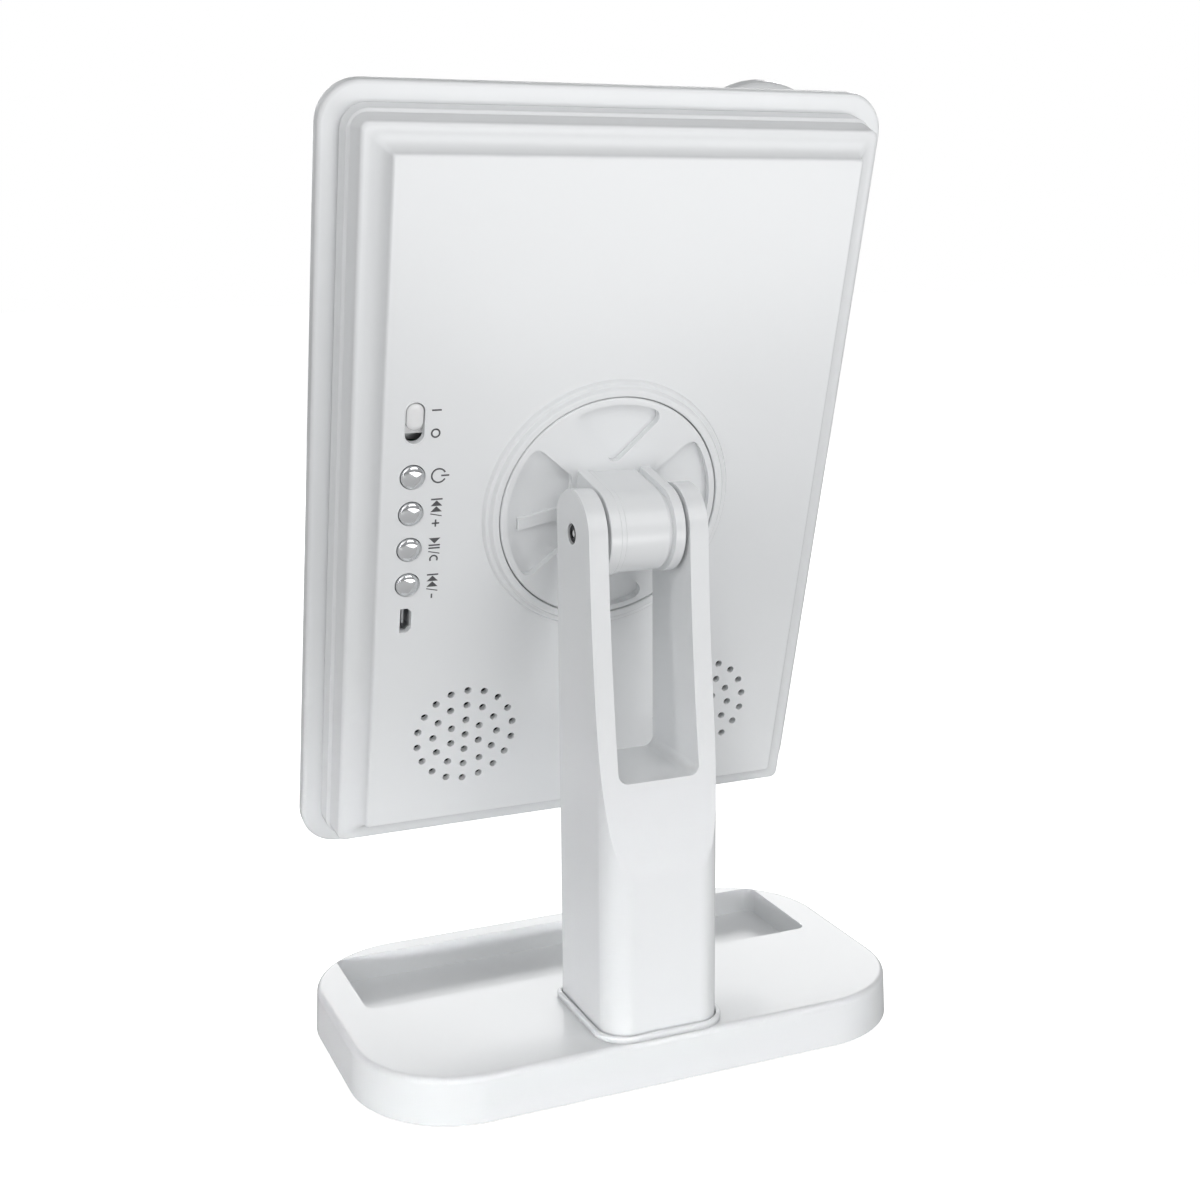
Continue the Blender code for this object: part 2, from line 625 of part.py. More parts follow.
def make_post():
    """The forked post: two arms over a window, a hollow back face and a hollow foot."""
    top = HINGE_HEIGHT + 2 * ARM_RADIUS
    half = POST_WIDTH / 2
    post = piece_of("post", prism(post_outline(0), POST_BOTTOM, top), WHITE_GLOSS)
    side = prism(post_side(), -half - CLEAR, half + CLEAR, "X")
    change(post, "post_side", side, "INTERSECT")
    inner = ARM_INNER
    corners = [(-inner, WINDOW_FLOOR), (inner, WINDOW_FLOOR), (inner, top), (-inner, top)]
    window = rounded_outline(corners, [WINDOW_CORNER] * 4)
    change(post, "post_window", prism(window, POST_FRONT - CLEAR, POST_REAR + CLEAR, "Y"))
    cavity = prism(post_outline(-POST_WALL), POST_BOTTOM - CLEAR, POST_CAVITY_TOP)
    change(post, "post_cavity", cavity)
    for name, (x, y) in post_screw_places().items():
        boss = disc(POST_BOSS_RADIUS, POST_BOTTOM, POST_CAVITY_TOP + POST_WALL)
        change(post, "post_boss_" + name, boss, "UNION", (x, y, 0))
    bores = bmesh.new()
    for x, y in post_screw_places().values():
        outline = circle(SCREW_RADIUS + GAP, (x, y), HOLE_STEPS)
        prism(outline, POST_BOTTOM - CLEAR, POST_BOTTOM + POST_SCREW_LENGTH, shape=bores)
    change(post, "post_bores", bores)
    pin_seat = half - PIN_HEAD_HEIGHT - 2 * GAP
    nut_seat = half - NUT_HEIGHT - 2 * GAP
    profile = [
        (0, -half - CLEAR),
        (NUT_RADIUS + GAP, -half - CLEAR),
        (NUT_RADIUS + GAP, -nut_seat),
        (PIN_BORE, -nut_seat),
        (PIN_BORE, pin_seat),
        (PIN_HEAD_RADIUS + GAP, pin_seat),
        (PIN_HEAD_RADIUS + GAP, half + CLEAR),
        (0, half + CLEAR),
    ]
    hole = turned(profile, "X", SMALL_STEPS)
    change(post, "hinge_hole", hole, location=(0, HINGE_Y, HINGE_HEIGHT))


def make_collar():
    """The thin trim ring round the post's foot."""
    inner = post_outline(GAP)
    foot = post_outline(GAP + COLLAR_WIDTH)
    crown = post_outline(GAP + COLLAR_WIDTH * 0.6)
    low, high = POST_BOTTOM, POST_BOTTOM + COLLAR_HEIGHT
    loops = [inner, foot, foot, crown, inner]
    heights = [low, low, high - 0.6 * MM, high, high]
    piece_of("post_collar", loft(loops, heights, cyclic=True), WHITE_GLOSS)


def make_hinge():
    """The tilt hinge's bolt, nut and friction washers."""
    half = POST_WIDTH / 2
    head_out = half - GAP
    head_in = head_out - PIN_HEAD_HEIGHT
    profile = [
        (0, -half + GAP),
        (PIN_RADIUS, -half + GAP),
        (PIN_RADIUS, head_in),
        (PIN_HEAD_RADIUS, head_in),
        (PIN_HEAD_RADIUS, head_out),
        (0, head_out),
    ]
    place = (0, HINGE_Y, HINGE_HEIGHT)
    pin = piece_of("hinge_pin", turned(profile, "X", SMALL_STEPS), PLAIN_STEEL, location=place)
    bottom = head_out - PIN_SOCKET_DEPTH
    socket = prism(circle(PIN_SOCKET_RADIUS, steps=6), bottom, head_out + CLEAR, "X")
    change(pin, "pin_socket", socket, location=place)
    nut_out = -half + GAP
    nut = prism(circle(NUT_RADIUS, steps=6), nut_out, nut_out + NUT_HEIGHT, "X")
    nut_piece = piece_of("hinge_nut", nut, PLAIN_STEEL, location=place)
    bore = disc(PIN_BORE, nut_out - CLEAR, nut_out + NUT_HEIGHT + CLEAR, "X")
    change(nut_piece, "nut_bore", bore, location=place)
    for name, side in (("left", -1), ("right", 1)):
        near = BARREL_HALF + RUN_GAP
        ends = sorted((side * near, side * (near + WASHER_THICKNESS)))
        ring = washer(PIN_BORE, WASHER_RADIUS, ends[0], ends[1], "X")
        piece_of("friction_washer_" + name, ring, BLACK_PLASTIC, location=place)


# ---- Hub ---------------------------------------------------------------------------------


def hub_screw_places():
    """The three screws that hold the retainer on the hub."""
    return arc((0, 0), HUB_SCREW_CIRCLE, math.radians(90), math.radians(330), 2)


def top_pocket(turn):
    """A rounded triangle with its point towards the hub's middle."""
    wide = POCKET_REACH * math.sin(TOP_POCKET_HALF)
    high = POCKET_REACH * math.cos(TOP_POCKET_HALF)
    corners = [(0, TOP_POCKET_APEX * turn), (-wide * turn, high * turn), (wide * turn, high * turn)]
    return rounded_outline(corners, [POCKET_CORNER] * 3)


def side_pocket(side):
    """The larger pocket beside the neck, bounded by the disc's rim."""
    inner = BARREL_HALF + 1.5 * MM
    reach = POCKET_REACH
    upper = (reach * math.cos(SIDE_POCKET_HALF), reach * math.sin(SIDE_POCKET_HALF))
    slope = upper[1] / upper[0]
    corners = [
        (inner, -inner * slope),
        (upper[0], -upper[1]),
        (reach, -reach * 0.36),
        (reach, reach * 0.36),
        upper,
        (inner, inner * slope),
    ]
    turned_corners = [(side * x, side * y) for x, y in corners]
    radii = [0.8 * MM, POCKET_CORNER, POCKET_CORNER, POCKET_CORNER, POCKET_CORNER, 0.8 * MM]
    return rounded_outline(turned_corners, radii, 3)


def pocket_rib(side):
    """The rib across a side pocket: it falls a little towards the disc's rim."""
    inner, outer = BARREL_HALF - 1 * MM, POCKET_REACH - 4 * MM
    fall = (outer - inner) * math.tan(RIB_FALL)
    half = RIB_WIDTH / 2
    outline = [(inner, half), (inner, -half), (outer, -half - fall), (outer, half - fall)]
    turned_outline = [(side * x, side * y) for x, y in outline]
    return prism(turned_outline, DISC_BACK - POCKET_DEPTH - 1 * MM, DISC_BACK - RIB_DROP)


def neck():
    """The block and barrel that stand out of the disc, with a flange at each end."""
    def section(radius):
        round_back = arc((0, 0), radius, 0, math.pi, ROUND_STEPS // 2)
        deep = DISC_BACK - DISC_THICKNESS / 2
        return round_back + [(-radius, deep), (radius, deep)]

    flange, barrel = section(BARREL_FLANGE_RADIUS), section(BARREL_RADIUS)
    inner = BARREL_HALF - BARREL_FLANGE
    loops = [flange, flange, barrel, barrel, flange, flange]
    heights = [-BARREL_HALF, -inner, -inner, inner, inner, BARREL_HALF]
    return loft(loops, heights, "X")


def make_hub(tilt_axis):
    """The disc that the head turns on, and what holds the head to it."""
    profile = [
        (0, SPIGOT_FRONT),
        (SPIGOT_RADIUS, SPIGOT_FRONT),
        (SPIGOT_RADIUS, DISC_FRONT),
        (DISC_RADIUS, DISC_FRONT),
        (DISC_RADIUS, DISC_BACK - 0.5 * MM),
        (DISC_RADIUS - 0.5 * MM, DISC_BACK),
        (0, DISC_BACK),
    ]
    hub = piece_of("hub_disc", turned(profile), WHITE_GLOSS, tilt_axis)
    change(hub, "hub_neck", neck(), "UNION")
    floor = DISC_BACK - POCKET_DEPTH
    pockets = bmesh.new()
    for outline in (top_pocket(1), top_pocket(-1), side_pocket(1), side_pocket(-1)):
        prism(outline, floor, DISC_BACK + CLEAR, shape=pockets)
    change(hub, "hub_pockets", pockets)
    for name, side in (("left", -1), ("right", 1)):
        change(hub, "hub_rib_" + name, pocket_rib(side), "UNION")
    change(hub, "hub_bore", disc(PIN_BORE, -BARREL_HALF - CLEAR, BARREL_HALF + CLEAR, "X"))
    bores = bmesh.new()
    for place in hub_screw_places():
        outline = circle(SCREW_RADIUS + GAP, place, HOLE_STEPS)
        prism(outline, SPIGOT_FRONT - CLEAR, SPIGOT_FRONT + HUB_SCREW_LENGTH, shape=bores)
    change(hub, "hub_screw_bores", bores)
    spring_back = BOSS_FRONT - RUN_GAP
    spring = washer(
        SPIGOT_RADIUS + RUN_GAP,
        RETAINER_RADIUS - 1.5 * MM,
        spring_back - SPRING_WASHER_THICKNESS,
        spring_back,
        steps=ROUND_STEPS,
    )
    piece_of("hub_spring_washer", spring, PLAIN_STEEL, tilt_axis)
    front = RETAINER_BACK - RETAINER_THICKNESS
    plate = disc(RETAINER_RADIUS, front, RETAINER_BACK, steps=ROUND_STEPS)
    retainer = piece_of("hub_retainer", plate, PLAIN_STEEL, tilt_axis)
    holes = bmesh.new()
    for place in hub_screw_places():
        outline = circle(SCREW_RADIUS + GAP, place, HOLE_STEPS)
        prism(outline, front - CLEAR, RETAINER_BACK + CLEAR, shape=holes)
    change(retainer, "retainer_holes", holes)
    head_low = front - SCREW_HEAD_HEIGHT
    for number, (x, y) in enumerate(hub_screw_places(), 1):
        shape = screw(HUB_SCREW_LENGTH)
        piece_of(f"hub_screw_{number}", shape, PLAIN_STEEL, tilt_axis, (x, y, head_low))


# ---- Head: casing ------------------------------------------------------------------------


def head_outline(inset, radius):
    """The head's outline, moved in by a distance, with its own corner radius."""
    return rectangle(HEAD_WIDTH - 2 * inset, HEAD_HEIGHT - 2 * inset, radius)


def cover_sections():
    """The rear cover's sections as (inset, height, corner radius), from the rim to the panel."""
    corner = HEAD_CORNER - BODY_INSET
    body = BODY_INSET + BODY_DRAFT
    panel = body + COVE_WIDTH
    cove = PANEL_BACK - BODY_TOP
    return [
        (BODY_INSET, COVER_FRONT, corner + 1.5 * MM),
        (BODY_INSET + 0.6 * MM, COVER_FRONT + 1.5 * MM, corner + 1 * MM),
        (body, BODY_TOP - 0.6 * MM, corner),
        (body + 0.6 * MM, BODY_TOP, corner - 0.5 * MM),
        (body + COVE_WIDTH * 0.45, BODY_TOP + cove * 0.22, PANEL_CORNER + 2 * MM),
        (body + COVE_WIDTH * 0.8, BODY_TOP + cove * 0.62, PANEL_CORNER + 1 * MM),
        (panel, PANEL_BACK, PANEL_CORNER),
    ]


def grille_places(side):
    """The holes of one grille: a middle hole and rings of six, twelve and eighteen."""
    middle = (side * SPEAKER_X, SPEAKER_Y)
    places = [middle]
    for ring in range(1, GRILLE_RINGS + 1):
        places += circle(ring * GRILLE_PITCH, middle, 6 * ring, math.pi / 2)
    return places


def port_outline(grow):
    """The charging port's mouth, moved out by a distance: two of its corners are cut."""
    x, y = PORT_WIDTH / 2 + grow, PORT_LENGTH / 2 + grow
    cut = 1.2 * MM
    corners = [(-x, y), (-x, -y), (x - cut, -y), (x, -y + cut), (x, y - cut), (x - cut, y)]
    return [(CONTROL_X + a, PORT_Y + b) for a, b in corners]


def make_rear_cover(turn_axis):
    """The stepped rear shell, with the hub's ring, both grilles and the control openings."""
    outer = cover_sections()
    wall = COVER_WALL
    inner = [
        (outer[-1][0] + 0.4 * wall, PANEL_INNER, PANEL_CORNER),
        (outer[3][0] + 1.2 * wall, BODY_TOP - 1.2 * wall, PANEL_CORNER),
        (BODY_INSET + wall, COVER_FRONT, outer[0][2] - wall),
    ]
    sections = inner + outer
    loops = [head_outline(inset, radius) for inset, _, radius in sections]
    shape = loft(loops, [height for _, height, _ in sections])
    cover = piece_of("rear_cover", shape, WHITE_GLOSS, turn_axis)
    boss = [
        (0, BOSS_FRONT),
        (RING_TOP + 1.5 * MM, BOSS_FRONT),
        (RING_RADIUS, BOSS_FRONT + RECESS_WALL),
        (RING_RADIUS, PANEL_BACK + 0.3 * MM),
        (RING_TOP + 1 * MM, DISC_BACK - 0.5 * MM),
        (RING_TOP, DISC_BACK),
        (0, DISC_BACK),
    ]
    change(cover, "hub_boss", turned(boss, steps=ROUND_STEPS + 8), "UNION")
    recess = DISC_RADIUS + RUN_GAP
    bore = SPIGOT_RADIUS + RUN_GAP
    seat = [
        (0, BOSS_FRONT - CLEAR),
        (bore, BOSS_FRONT - CLEAR),
        (bore, RECESS_FLOOR),
        (recess, RECESS_FLOOR),
        (recess, DISC_BACK + CLEAR),
        (0, DISC_BACK + CLEAR),
    ]
    change(cover, "hub_seat", turned(seat, steps=ROUND_STEPS + 8))
    openings = bmesh.new()
    low, high = PANEL_INNER - CLEAR, PANEL_BACK + CLEAR
    for y in BUTTON_YS:
        outline = circle(BUTTON_RADIUS + RUN_GAP, (CONTROL_X, y))
        prism(outline, low, high, shape=openings)
    slot = rectangle(SLOT_WIDTH, SLOT_LENGTH, SLOT_WIDTH / 2 - 0.05 * MM, (CONTROL_X, SLOT_Y))
    prism(slot, low, high, shape=openings)
    prism(port_outline(0), low, high, shape=openings)
    change(cover, "control_openings", openings)
    grille = bmesh.new()
    for side in (-1, 1):
        for place in grille_places(side):
            prism(circle(GRILLE_HOLE_RADIUS, place, GRILLE_STEPS), low, high, shape=grille)
    change(cover, "speaker_grilles", grille)


def make_front(turn_axis):
    """The front frame, the mirror glass and the two light strips beside it."""
    edge, face = BEZEL_EDGE, BEZEL_FACE
    ledge = face + BEZEL_LEDGE
    seat = GLASS_BACK + GAP
    sections = [
        (edge, HEAD_FRONT, HEAD_CORNER - edge),
        (0.3 * edge, HEAD_FRONT + 0.3 * edge, HEAD_CORNER - 0.3 * edge),
        (0, HEAD_FRONT + edge, HEAD_CORNER),
        (0, BEZEL_BACK - edge, HEAD_CORNER),
        (0.3 * edge, BEZEL_BACK - 0.3 * edge, HEAD_CORNER - 0.3 * edge),
        (edge, BEZEL_BACK, HEAD_CORNER - edge),
        (ledge, BEZEL_BACK, 2 * MM),
        (ledge, seat, 2 * MM),
        (face, seat, 3 * MM),
        (face, HEAD_FRONT, 3 * MM),
    ]
    loops = [head_outline(inset, radius) for inset, _, radius in sections]
    shape = loft(loops, [height for _, height, _ in sections], cyclic=True)
    piece_of("front_bezel", shape, WHITE_GLOSS, turn_axis)
    height = OPENING_HEIGHT - 2 * GAP
    glass_width = OPENING_WIDTH - 2 * (DIFFUSER_WIDTH + 2 * GAP)
    outline = rectangle(glass_width, height, 0.5 * MM, steps=1)
    piece_of("mirror_glass", prism(outline, GLASS_FRONT, GLASS_BACK), SILVERED_GLASS, turn_axis)
    for name, side in (("left", -1), ("right", 1)):
        outline = rectangle(DIFFUSER_WIDTH, height, 2.6 * MM, (side * LIGHT_X, 0))
        strip = prism(outline, GLASS_FRONT, GLASS_BACK)
        piece_of("light_diffuser_" + name, strip, MILKY_PLASTIC, turn_axis)


# ---- Head: controls ----------------------------------------------------------------------


def make_buttons(turn_axis):
    """The four domed push buttons and the sliding switch's knob, each on its own axis."""
    low = FLANGE_BACK - BUTTON_FLANGE
    side = PANEL_BACK + 0.3 * MM
    dome = PANEL_BACK + BUTTON_PROUD
    profile = [
        (0, low),
        (BUTTON_RADIUS + 1 * MM, low),
        (BUTTON_RADIUS + 1 * MM, FLANGE_BACK),
        (BUTTON_RADIUS, FLANGE_BACK),
        (BUTTON_RADIUS, side),
        (BUTTON_RADIUS * 0.85, side + (dome - side) * 0.5),
        (BUTTON_RADIUS * 0.5, side + (dome - side) * 0.88),
        (0, dome),
    ]
    for name, y in zip(BUTTON_NAMES, BUTTON_YS):
        shape = turned(profile, steps=SMALL_STEPS)
        piece_of(name + "_button", shape, BRIGHT_CHROME, turn_axis, (CONTROL_X, y, 0))
    width = SLOT_WIDTH - 2 * RUN_GAP
    shape = prism(rectangle(width, KNOB_LENGTH, width * 0.45), low, PANEL_BACK + KNOB_PROUD)
    place = (CONTROL_X, KNOB_Y, 0)
    knob = piece_of("slide_knob", shape, WHITE_GLOSS, turn_axis, place)
    length = SLOT_LENGTH + SLIDE_TRAVEL + 1 * MM
    outline = rectangle(SLOT_WIDTH + 2 * MM, length, 1 * MM, steps=2)
    change(knob, "knob_flange", prism(outline, low - GAP, FLANGE_BACK), "UNION", place)


def make_switches(turn_axis):
    """The control board with its tactile switches, slide switch and charging socket."""
    body = rectangle(SWITCH_BODY, SWITCH_BODY, 0.4 * MM, steps=1)
    low = SWITCH_TOP - SWITCH_HEIGHT
    for name, y in zip(BUTTON_NAMES, BUTTON_YS):
        shape = prism(body, low, SWITCH_TOP - PLUNGER_HEIGHT)
        place = (CONTROL_X, y, 0)
        switch = piece_of("tact_switch_" + name, shape, BLACK_PLASTIC, turn_axis, place)
        top = disc(PLUNGER_RADIUS, low + 1 * MM, SWITCH_TOP, steps=HOLE_STEPS)
        change(switch, "plunger_" + name, top, "UNION", place)
    slide = prism(rectangle(*SLIDE_BODY, 0.5 * MM, steps=1), low, SWITCH_TOP)
    place = (CONTROL_X, SLOT_Y, 0)
    piece_of("slide_switch_body", slide, PLAIN_STEEL, turn_axis, place)
    mouth = PANEL_INNER - GAP
    shell = prism(port_outline(0.3 * MM), low, mouth)
    socket = piece_of("charging_socket", shell, PLAIN_STEEL, turn_axis)
    hollow = prism(port_outline(-0.2 * MM), low + 1.2 * MM, mouth + CLEAR)
    change(socket, "socket_hollow", hollow)
    tongue = rectangle(0.7 * MM, PORT_LENGTH - 3 * MM, 0.2 * MM, (CONTROL_X, PORT_Y), 1)
    change(socket, "socket_tongue", prism(tongue, low + 0.6 * MM, mouth - 0.8 * MM), "UNION")
    top = SLOT_Y + CONTROL_BOARD_END
    bottom = PORT_Y - CONTROL_BOARD_END
    middle = (CONTROL_X, (top + bottom) / 2)
    outline = rectangle(CONTROL_BOARD_WIDTH, top - bottom, 1 * MM, middle, 2)
    board = prism(outline, SWITCH_BOARD_BACK - SWITCH_BOARD_THICKNESS, SWITCH_BOARD_BACK)
    piece_of("control_board", board, GREEN_BOARD, turn_axis)


# ---- Head: speakers, lights and power ----------------------------------------------------


def make_speakers(turn_axis):
    """Two small drivers behind the grilles: basket, cone and magnet each."""
    back = PANEL_INNER - GAP
    rim = 1.2 * MM
    throat = SPEAKER_RADIUS * 0.5
    deep = back - SPEAKER_DEPTH * 0.7
    wall = 1 * MM
    basket = [
        (SPEAKER_RADIUS, back),
        (SPEAKER_RADIUS, back - rim),
        (SPEAKER_RADIUS - 1.5 * MM, back - rim - 0.5 * MM),
        (throat + wall, deep),
        (throat - 3 * MM, deep),
        (throat - 3 * MM, deep + wall),
        (throat, deep + wall),
        (SPEAKER_RADIUS - 2 * MM, back - rim),
        (SPEAKER_RADIUS - 2 * MM, back),
    ]
    cone = [
        (0, deep + wall + 2 * MM),
        (throat * 0.55, deep + wall + 1 * MM),
        (throat * 0.8, deep + wall + 1 * MM),
        (SPEAKER_RADIUS - 4 * MM, back - rim - 0.4 * MM),
        (SPEAKER_RADIUS - 2.6 * MM, back - rim),
        (SPEAKER_RADIUS - 2.6 * MM, back - 0.3 * MM),
        (SPEAKER_RADIUS - 4 * MM, back - 0.2 * MM),
        (throat * 0.8, deep + wall + 2.2 * MM),
        (throat * 0.5, deep + wall + 3.6 * MM),
        (0, deep + wall + 4.6 * MM),
    ]
    for name, side in (("left", -1), ("right", 1)):
        place = (side * SPEAKER_X, SPEAKER_Y, 0)
        frame = turned(basket, steps=2 * SMALL_STEPS)
        piece_of("speaker_basket_" + name, frame, BLACK_PLASTIC, turn_axis, place)
        paper = turned(cone, steps=2 * SMALL_STEPS)
        piece_of("speaker_cone_" + name, paper, FIBRE_PAPER, turn_axis, place)
        magnet = disc(throat - 1 * MM, back - SPEAKER_DEPTH, deep - GAP)
        piece_of("speaker_magnet_" + name, magnet, FERRITE, turn_axis, place)


def make_lights(turn_axis):
    """A narrow board of small lamps behind each light strip."""
    length = OPENING_HEIGHT - 2 * LIGHT_STRIP_END
    lamp = LAMP_HALF
    front = GLASS_BACK + LIGHT_STRIP_GAP
    for name, side in (("left", -1), ("right", 1)):
        x = side * (LIGHT_X - 1 * MM)
        outline = rectangle(LIGHT_STRIP_WIDTH, length, 0.5 * MM, steps=1)
        shape = prism(outline, front, front + 1 * MM)
        board = piece_of("light_board_" + name, shape, WHITE_SATIN, turn_axis, (x, 0, 0))
        lamps = bmesh.new()
        for i in range(LIGHTS_PER_STRIP):
            y = length * (i + 0.5) / LIGHTS_PER_STRIP - length / 2
            square = [(-lamp, y - lamp), (lamp, y - lamp), (lamp, y + lamp), (-lamp, y + lamp)]
            prism(square, front - 0.8 * MM, front + 0.5 * MM, shape=lamps)
        change(board, "lamps_" + name, lamps, "UNION", (x, 0, 0))


def make_electronics(turn_axis):
    """The main board and the battery."""
    middle = (MAIN_BOARD_X, MAIN_BOARD_Y)
    outline = rectangle(MAIN_BOARD_WIDTH, MAIN_BOARD_HEIGHT, 1 * MM, middle, 2)
    shape = prism(outline, MAIN_BOARD_BACK - MAIN_BOARD_THICKNESS, MAIN_BOARD_BACK)
    board = piece_of("main_board", shape, GREEN_BOARD, turn_axis)
    chips = bmesh.new()
    for shift, wide in ((-14 * MM, 8 * MM), (-1 * MM, 6 * MM), (11 * MM, 10 * MM)):
        place = (MAIN_BOARD_X + shift, MAIN_BOARD_Y)
        outline = rectangle(wide, wide, 0.3 * MM, place, 1)
        prism(outline, MAIN_BOARD_BACK - 1 * MM, MAIN_BOARD_BACK + 1.4 * MM, shape=chips)
    change(board, "main_board_chips", chips, "UNION")
    outline = rectangle(BATTERY_WIDTH, BATTERY_HEIGHT, 3 * MM, (BATTERY_X, BATTERY_Y))
    back = PANEL_INNER - GAP
    pack = prism(outline, back - BATTERY_DEPTH, back)
    piece_of("battery_pack", pack, BATTERY_WRAP, turn_axis)


def wire(name, route, turn_axis):
    """A lead on a smooth curve through the points of its route."""
    curve = bpy.data.curves.new(name, "CURVE")
    curve.dimensions = "3D"
    spline = curve.splines.new("POLY")
    points = smooth_route(route)
    spline.points.add(len(points) - 1)
    for target, point in zip(spline.points, points):
        target.co = (*point, 1)
    curve.bevel_depth = LEAD_RADIUS
    curve.bevel_resolution = 1
    curve.use_fill_caps = True
    curve.materials.append(finish(name, *RED_WIRE))
    lead = bpy.data.objects.new(name, curve)
    lead.parent = turn_axis
    bpy.context.scene.collection.objects.link(lead)


def smooth_route(route, steps=5):
    """Points read from a Catmull-Rom curve through the route's points."""
    knots = [Vector(p) for p in (route[0], *route, route[-1])]
    points = []
    for a, b, c, d in zip(knots, knots[1:], knots[2:], knots[3:]):
        for i in range(steps):
            t = i / steps
            line = 2 * b + (c - a) * t + (2 * a - 5 * b + 4 * c - d) * t**2
            points.append((line + (3 * b - a - 3 * c + d) * t**3) / 2)
    return points + [Vector(route[-1])]


def make_leads(turn_axis):
    """The leads from the main board to the battery and to both speakers."""
    start = BOARD_ROW_LOW - LEAD_GAP
    deep = MAIN_BOARD_BACK - MAIN_BOARD_THICKNESS / 2
    board_end = MAIN_BOARD_X + MAIN_BOARD_WIDTH / 2
    battery_end = BATTERY_X - BATTERY_WIDTH / 2
    link = [
        (board_end - 5 * MM, start, deep),
        (board_end - 3 * MM, start - 4 * MM, deep),
        (battery_end + 3 * MM, start - 4 * MM, deep),
        (battery_end + 5 * MM, start, deep),
    ]
    wire("battery_lead", link, turn_axis)
    reach = SPEAKER_X + 4 * MM
    speaker_top = SPEAKER_Y + SPEAKER_RADIUS
    end = (speaker_top + 1.4 * MM, PANEL_INNER - 2 * MM)
    left = [
        (MAIN_BOARD_X - 8 * MM, start, deep),
        (-reach, start - 14 * MM, deep - 3 * MM),
        (-reach, 0, deep - 5 * MM),
        (-reach, speaker_top + 9 * MM, deep - 4 * MM),
        (-SPEAKER_X, *end),
    ]
    right = [
        (board_end - 12 * MM, start, deep),
        (battery_end, start - 9 * MM, deep - 3 * MM),
        (reach * 0.75, start - 18 * MM, deep - 5 * MM),
        (reach, 0, deep - 5 * MM),
        (reach, speaker_top + 9 * MM, deep - 4 * MM),
        (SPEAKER_X, *end),
    ]
    wire("speaker_lead_left", left, turn_axis)
    wire("speaker_lead_right", right, turn_axis)


# ---- Spot mirror -------------------------------------------------------------------------


def make_spot_mirror(turn_axis):
    """The small magnifying mirror that a suction cup holds on the glass."""
    spot_axis = axis_empty("spot_axis", (SPOT_X, SPOT_Y, GLASS_FRONT), parent=turn_axis)
    cup_back = -GAP
    cup_front = cup_back - SUCTION_HEIGHT
    stub = cup_front - 2.2 * MM
    cup = [
        (0, cup_back - 1 * MM),
        (SUCTION_RADIUS - 3 * MM, cup_back - 0.8 * MM),
        (SUCTION_RADIUS - 1 * MM, cup_back),
        (SUCTION_RADIUS, cup_back - 0.3 * MM),
        (SUCTION_RADIUS * 0.75, cup_back - 2 * MM),
        (SPOT_STUB_RADIUS, cup_front),
        (SPOT_STUB_RADIUS, stub),
        (0, stub),
    ]
    piece_of("spot_suction_cup", turned(cup, steps=SMALL_STEPS), CLEAR_VINYL, spot_axis)
    back = cup_front - GAP
    front = back - SPOT_DEPTH
    hole = SPOT_STUB_RADIUS + GAP
    shelf = front + 2.2 * MM
    wall = SPOT_WALL
    housing = [
        (hole, back),
        (SPOT_RADIUS * 0.7, back - 0.5 * MM),
        (SPOT_RADIUS * 0.9, back - 2 * MM),
        (SPOT_RADIUS, back - 5 * MM),
        (SPOT_RADIUS, front + 0.5 * MM),
        (SPOT_RADIUS - 0.5 * MM, front),
        (SPOT_RADIUS - wall, front),
        (SPOT_RADIUS - wall, shelf),
        (SPOT_RADIUS - 2 * wall, shelf),
        (SPOT_RADIUS * 0.85, back - 2 * MM - wall),
        (hole, back - wall),
    ]
    piece_of("spot_housing", turned(housing), WHITE_GLOSS, spot_axis)
    face = SPOT_RADIUS - wall - GAP
    glass = disc(face, front + GLASS_RECESS, shelf - GAP, steps=ROUND_STEPS)
    piece_of("spot_glass", glass, SILVERED_GLASS, spot_axis)


def main():
    """Clears the scene and builds every piece."""
    for old in list(bpy.data.objects):
        bpy.data.objects.remove(old)
    lean = (math.pi / 2 + TILT_AT_REST, 0, math.pi)
    tilt_axis = axis_empty("tilt_axis", (0, HINGE_Y, HINGE_HEIGHT), lean)
    turn_axis = axis_empty("turn_axis", (0, 0, 0), parent=tilt_axis)
    make_base_shell()
    make_bottom_cover()
    make_base_fittings()
    make_post()
    make_collar()
    make_hinge()
    make_hub(tilt_axis)
    make_rear_cover(turn_axis)
    make_front(turn_axis)
    make_buttons(turn_axis)
    make_switches(turn_axis)
    make_speakers(turn_axis)
    make_lights(turn_axis)
    make_electronics(turn_axis)
    make_leads(turn_axis)
    make_spot_mirror(turn_axis)


main()
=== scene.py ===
"""The finished look of a lighted vanity mirror with built-in speakers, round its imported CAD.

The base, the post, the hub, the casing, the controls and the spot mirror are each a class. A class
reads the places of its CAD nodes, builds finer pieces over them, and names what they stand for.
Nodes that stay are dressed by their material slot. Lengths are in metres.

The hub and the head are drawn in the head's own axes, which the joints give: X to the right as
seen from behind, Y up the head, and Z out of its back, from a point on the tilt hinge.
"""

import json
import logging
import math
from collections.abc import Iterable, Sequence
from dataclasses import dataclass
from enum import Enum

import bmesh
import bpy
from mathutils import Matrix, Vector


